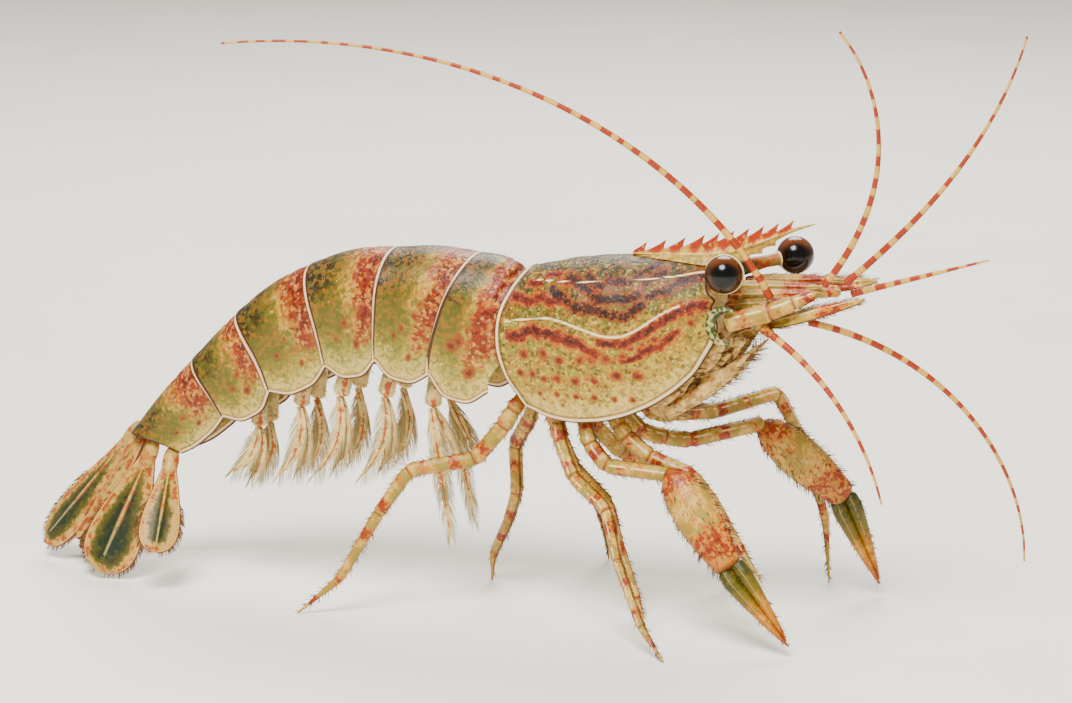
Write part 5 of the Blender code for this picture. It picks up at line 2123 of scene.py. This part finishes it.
# ---- swimming legs and tail fan
@dataclass
class Pleopods:
    """Five pairs of swimming legs: a stout stem with two blades, each fringed with long bristles."""

    # Root (x, z), distance from the middle, then length and pitch of the stem, outer and inner blade.
    plans: Sequence[tuple] = (
        ((-10.6, 28.2), 2.5, (5.5, -98), (14.5, -80), (6.5, -62)),
        ((-15.4, 29.2), 2.5, (6.0, -107), (9.5, -106), (8.0, -94)),
        ((-21.0, 28.8), 2.4, (6.0, -106), (9.5, -108), (8.6, -97)),
        ((-26.8, 26.8), 2.1, (5.5, -99), (8.5, -108), (7.9, -96)),
        ((-33.0, 22.4), 1.5, (4.0, -93), (6.0, -120), (6.2, -101)))

    def build(self, material: Material, bristle: Material) -> None:
        """Builds every swimming leg with its fringes.

        Args:
            material: its finish.
            bristle: the bristles' finish.
        """
        for i, plan in enumerate(self.plans):
            for side, turn in SIDES.items():
                self.build_one(i, side, turn, plan, material, bristle)

    def build_one(self, i: int, side: str, turn: int, plan: tuple, material: Material,
                  bristle: Material) -> None:
        """Builds one swimming leg.

        Args:
            i: its number, counted from 0.
            side: the name of its side.
            turn: -1 for the right side, 1 for the left.
            plan: its row in plans.
            material: its finish.
            bristle: the bristles' finish.
        """
        (x, z), y, *parts = plan
        stem_way, outer_way, inner_way = (
            (heading(pitch) * length)[[0, 0, 1]] * (1, 0, 1) for length, pitch in parts)
        top = np.array([x, y * turn, z])
        fork = top + stem_way
        skin, hairs = Skin(), Skin()
        stem = Limb(np.array([top, fork]), (0.85, 1.0), (0, turn, 0), flatness=0.6, seed=400 + i, pointed=False)
        stem.add_to(skin, hairs, thick=0.8, long=0.8)
        outline = ((0.0, 0.6), (0.15, 0.95), (0.4, 1.0), (0.75, 0.6), (1.0, 0.08))
        for n, (way, shift, half) in enumerate(((outer_way, 0.9, 0.6), (inner_way, -0.2, 0.5))):
            end = fork + way + (0, shift * turn, 0)
            way_out = turn * (1 - 2 * n)
            leaf = Leaf(fork + (0, 0.3 * way_out, 0), end, (0.1, way_out, 0.0), half, outline,
                        thickness=(0.08, 0.2), camber=0.1, bend=-0.14 * way_out * (i > 0), rows=50, columns=18)
            leaf.add_to(skin)
            leaf.add_fringe(hairs, 150, 2.5, 0.026, 500 + 20 * i + 2 * n + turn, start=0.08, lean=2.6,
                            jitter=0.10)
        skin.build(f"swimming_leg_{i + 1}_{side}", material, Slot.PLEOPOD, f"pleopod_{i + 1}_{side}")
        hairs.build(f"swimming_fringe_{i + 1}_{side}", bristle, Slot.PLEOPOD)


@dataclass
class TailFan:
    """The telson and the two pairs of tail blades with their short stems and fringes."""

    outline: Knots = ((0.0, 0.22), (0.12, 0.40), (0.35, 0.70), (0.62, 0.97), (0.82, 0.98), (0.94, 0.70),
                      (1.0, 0.20))
    blades: dict[str, tuple] = field(default_factory=lambda: {
        "uropod_inner_left": ((-49.7, 2.0, 14.4), (-58.9, 2.6, 0.9), (-0.25, -0.75, 0.6), 2.4),
        "uropod_outer_left": ((-50.9, 1.8, 15.6), (-61.9, -0.4, 1.9), (-0.2, -0.8, 0.55), 2.7),
        "uropod_inner_right": ((-46.9, -1.9, 14.3), (-51.5, -6.6, 0.9), (0.1, -0.9, 0.35), 3.4),
        "uropod_outer_right": ((-44.0, -2.4, 13.9), (-42.2, -10.3, 5.1), (0.35, -0.6, 0.7), 2.3)})

    def build(self, fan: Material, bristle: Material) -> None:
        """Builds the telson, the four blades and their fringes.

        Args:
            fan: the finish of telson and blades.
            bristle: the bristles' finish.
        """
        for number, (name, (root, tip, facing, half)) in enumerate(self.blades.items()):
            leaf = Leaf(root, tip, facing, half, self.outline, thickness=(0.12, 0.34), ribs=2, rows=90,
                        columns=40)
            skin, hairs = Skin(), Skin()
            leaf.add_to(skin)
            start, forward = np.array(root), leaf.axes()[0]
            along = np.linspace(-1.3, 2.2, 30)
            girth = 0.95 * np.sqrt(np.clip(1 - ((along - 0.3) / 2.1) ** 2, 0.01, 1))
            stem = sweep(start + forward * along[:, None], girth, girth * 0.7, facing, 24)
            skin.add_grid(stem, {"along": 0, "rim": 0.8, "ridge": 0, "edge": 0})
            skin.build(f"tail_blade_{name}", fan, Slot.FAN, name)
            leaf.add_fringe(hairs, 150, 1.0, 0.04, 600 + number, start=0.45, lean=0.7)
            hairs.build(f"tail_fringe_{name}", bristle, Slot.FAN)
        outline = ((0.0, 0.9), (0.2, 1.0), (0.6, 0.75), (0.92, 0.45), (1.0, 0.15))
        leaf = Leaf((-49.2, -0.2, 15.4), (-56.2, -3.2, 3.6), (-0.2, -0.8, 0.6), 1.35, outline,
                    thickness=(0.2, 0.45), camber=0.35, rows=70, columns=30)
        skin, hairs = Skin(), Skin()
        leaf.add_to(skin)
        skin.build("telson_blade", fan, Slot.ABDOMEN, "telson")
        leaf.add_fringe(hairs, 24, 1.0, 0.05, 640, start=0.6, lean=1.4)
        hairs.build("telson_spines", bristle, Slot.ABDOMEN)


# ---- studio
@dataclass
class Studio:
    """A pale floor, soft lights and the camera."""

    target: Numbers = (0.0, 0.0, 29.5)
    azimuth: float = 22.0
    elevation: float = 12.0
    distance: float = 442.2
    lens: float = 135.0
    sensor_width: float = 36.0
    floor_radius: float = 4000.0
    floor_sides: int = 96
    floor_drop: float = 0.02
    sky: str = "#FBF9F4"
    sky_strength: float = 0.56
    # Each light: its name, its place, its diameter and its power in watts.
    lights: Sequence[tuple] = (("key_softbox", (30, -280, 440), 230, 5.6),
                               ("back_softbox", (-90, 330, 380), 300, 3.0))

    def build(self) -> None:
        """Builds the studio."""
        scene = bpy.context.scene
        a, e = math.radians(self.azimuth), math.radians(self.elevation)
        back = np.array([math.sin(a) * math.cos(e), -math.cos(a) * math.cos(e), math.sin(e)])
        camera = bpy.data.objects.new("studio_camera", bpy.data.cameras.new("studio_camera"))
        camera.data.lens = self.lens
        camera.data.sensor_width = self.sensor_width
        camera.data.clip_start, camera.data.clip_end = 0.01, 50.0
        camera.location = place(np.array(self.target) + back * self.distance)
        camera.rotation_euler = Vector(back).to_track_quat("Z", "Y").to_euler()
        scene.collection.objects.link(camera)
        scene.camera = camera
        self.add_floor()
        for light in self.lights:
            self.add_light(*light)
        world = bpy.data.worlds.new("studio_world")
        world.use_nodes = True
        sky = world.node_tree.nodes["Background"].inputs
        sky["Color"].default_value = linear(self.sky)
        sky["Strength"].default_value = self.sky_strength
        scene.world = world

    def add_floor(self) -> None:
        """Adds the floor the animal stands on."""
        mesh = bpy.data.meshes.new("studio_floor")
        turn, count = around(self.floor_sides), self.floor_sides
        rim = np.column_stack([np.cos(turn), np.sin(turn), np.zeros_like(turn)]) * self.floor_radius * MM
        mesh.from_pydata([(0, 0, 0), *rim.tolist()], [], [(0, i + 1, (i + 1) % count + 1) for i in range(count)])
        paint = Paint("matt_paper_rolled_floor", "#F6F3EC")
        paint.lay("#F1EDE4", 0.5, paint.mottle(60.0, 0.4, 0.7))
        mesh.materials.append(paint.finish(0.85, paint.cloud(0.5), 0.01))
        floor = bpy.data.objects.new("studio_floor", mesh)
        bpy.context.scene.collection.objects.link(floor)
        floor.location.z = -self.floor_drop * MM

    def add_light(self, name: str, spot: Numbers, size: float, watts: float) -> None:
        """Adds one soft light that faces the animal.

        Args:
            name: its name.
            spot: its place.
            size: its diameter.
            watts: its power.
        """
        data = bpy.data.lights.new(name, "AREA")
        data.shape = "DISK"
        data.size = size * MM
        data.energy = watts
        light = bpy.data.objects.new(name, data)
        light.location = Vector(spot) * MM
        light.rotation_euler = (Vector(spot) - Vector(self.target)).to_track_quat("Z", "Y").to_euler()
        bpy.context.scene.collection.objects.link(light)


def main() -> None:
    """Builds the animal, sub-assembly by sub-assembly, and the studio round it."""
    logging.basicConfig(level=logging.INFO, format="%(message)s")
    soft = SoftCuticle().make()
    pleopod = SoftCuticle("thin_cuticle_grown_swimming_leg", "#E6CF9E", "#A6A27E", "#C4602E", cover=0.12,
                          gaps=0.38).make()
    limb = LimbCuticle().make()
    bristle = Bristle("chitin_bristle_grown_limb", "#8A6032", "#4A2E14").make()
    fringe = Bristle("chitin_bristle_grown_fringe", "#DCCBA4", "#A59468").make()
    shield = Shield()
    shield.build(ShieldCuticle().make())
    shield.build_flesh(soft)
    rings = TailRings()
    rings.build(RingCuticle().make())
    rings.build_flesh(soft)
    Breast().build(soft)
    Beak().build(BeakCuticle().make())
    cornea, stalk = Cornea().make(), StalkCuticle().make()
    Eye("right", [(22.7, -1.2, 40.1), (23.1, -2.2, 40.4), (23.4, -3.1, 40.6)]).build(cornea, stalk)
    Eye("left", [(22.7, 1.4, 40.1), (24.5, 2.7, 40.6), (26.4, 4.0, 41.0)], radii=(0.9, 0.85, 0.66, 0.75),
        cup_angle=24.0).build(cornea, stalk)
    feeler = FeelerCuticle().make()
    for seed, (node, whip) in enumerate(WHIPS.items()):
        whip.build(node, feeler, seed)
    HeadStems().build(limb, bristle)
    Mouth().build(soft, bristle)
    Legs().build(limb, bristle)
    finger, palm = FingerCuticle().make(), LimbCuticle("hard_cuticle_grown_palm", cover=-0.02).make()
    Claw("right", (17.6, -4.8, 18.4), (24.6, -6.3, 9.4), (32.2, -7.4, 1.3)).build(palm, finger, bristle)
    Claw("left", (22.5, 11.8, 20.5), (29.8, 17.5, 12.2), (33.7, 20.6, 1.3)).build(palm, finger, bristle)
    Pleopods().build(pleopod, fringe)
    TailFan().build(FanCuticle().make(), bristle)
    Studio().build()


if __name__ == "__main__":
    main()
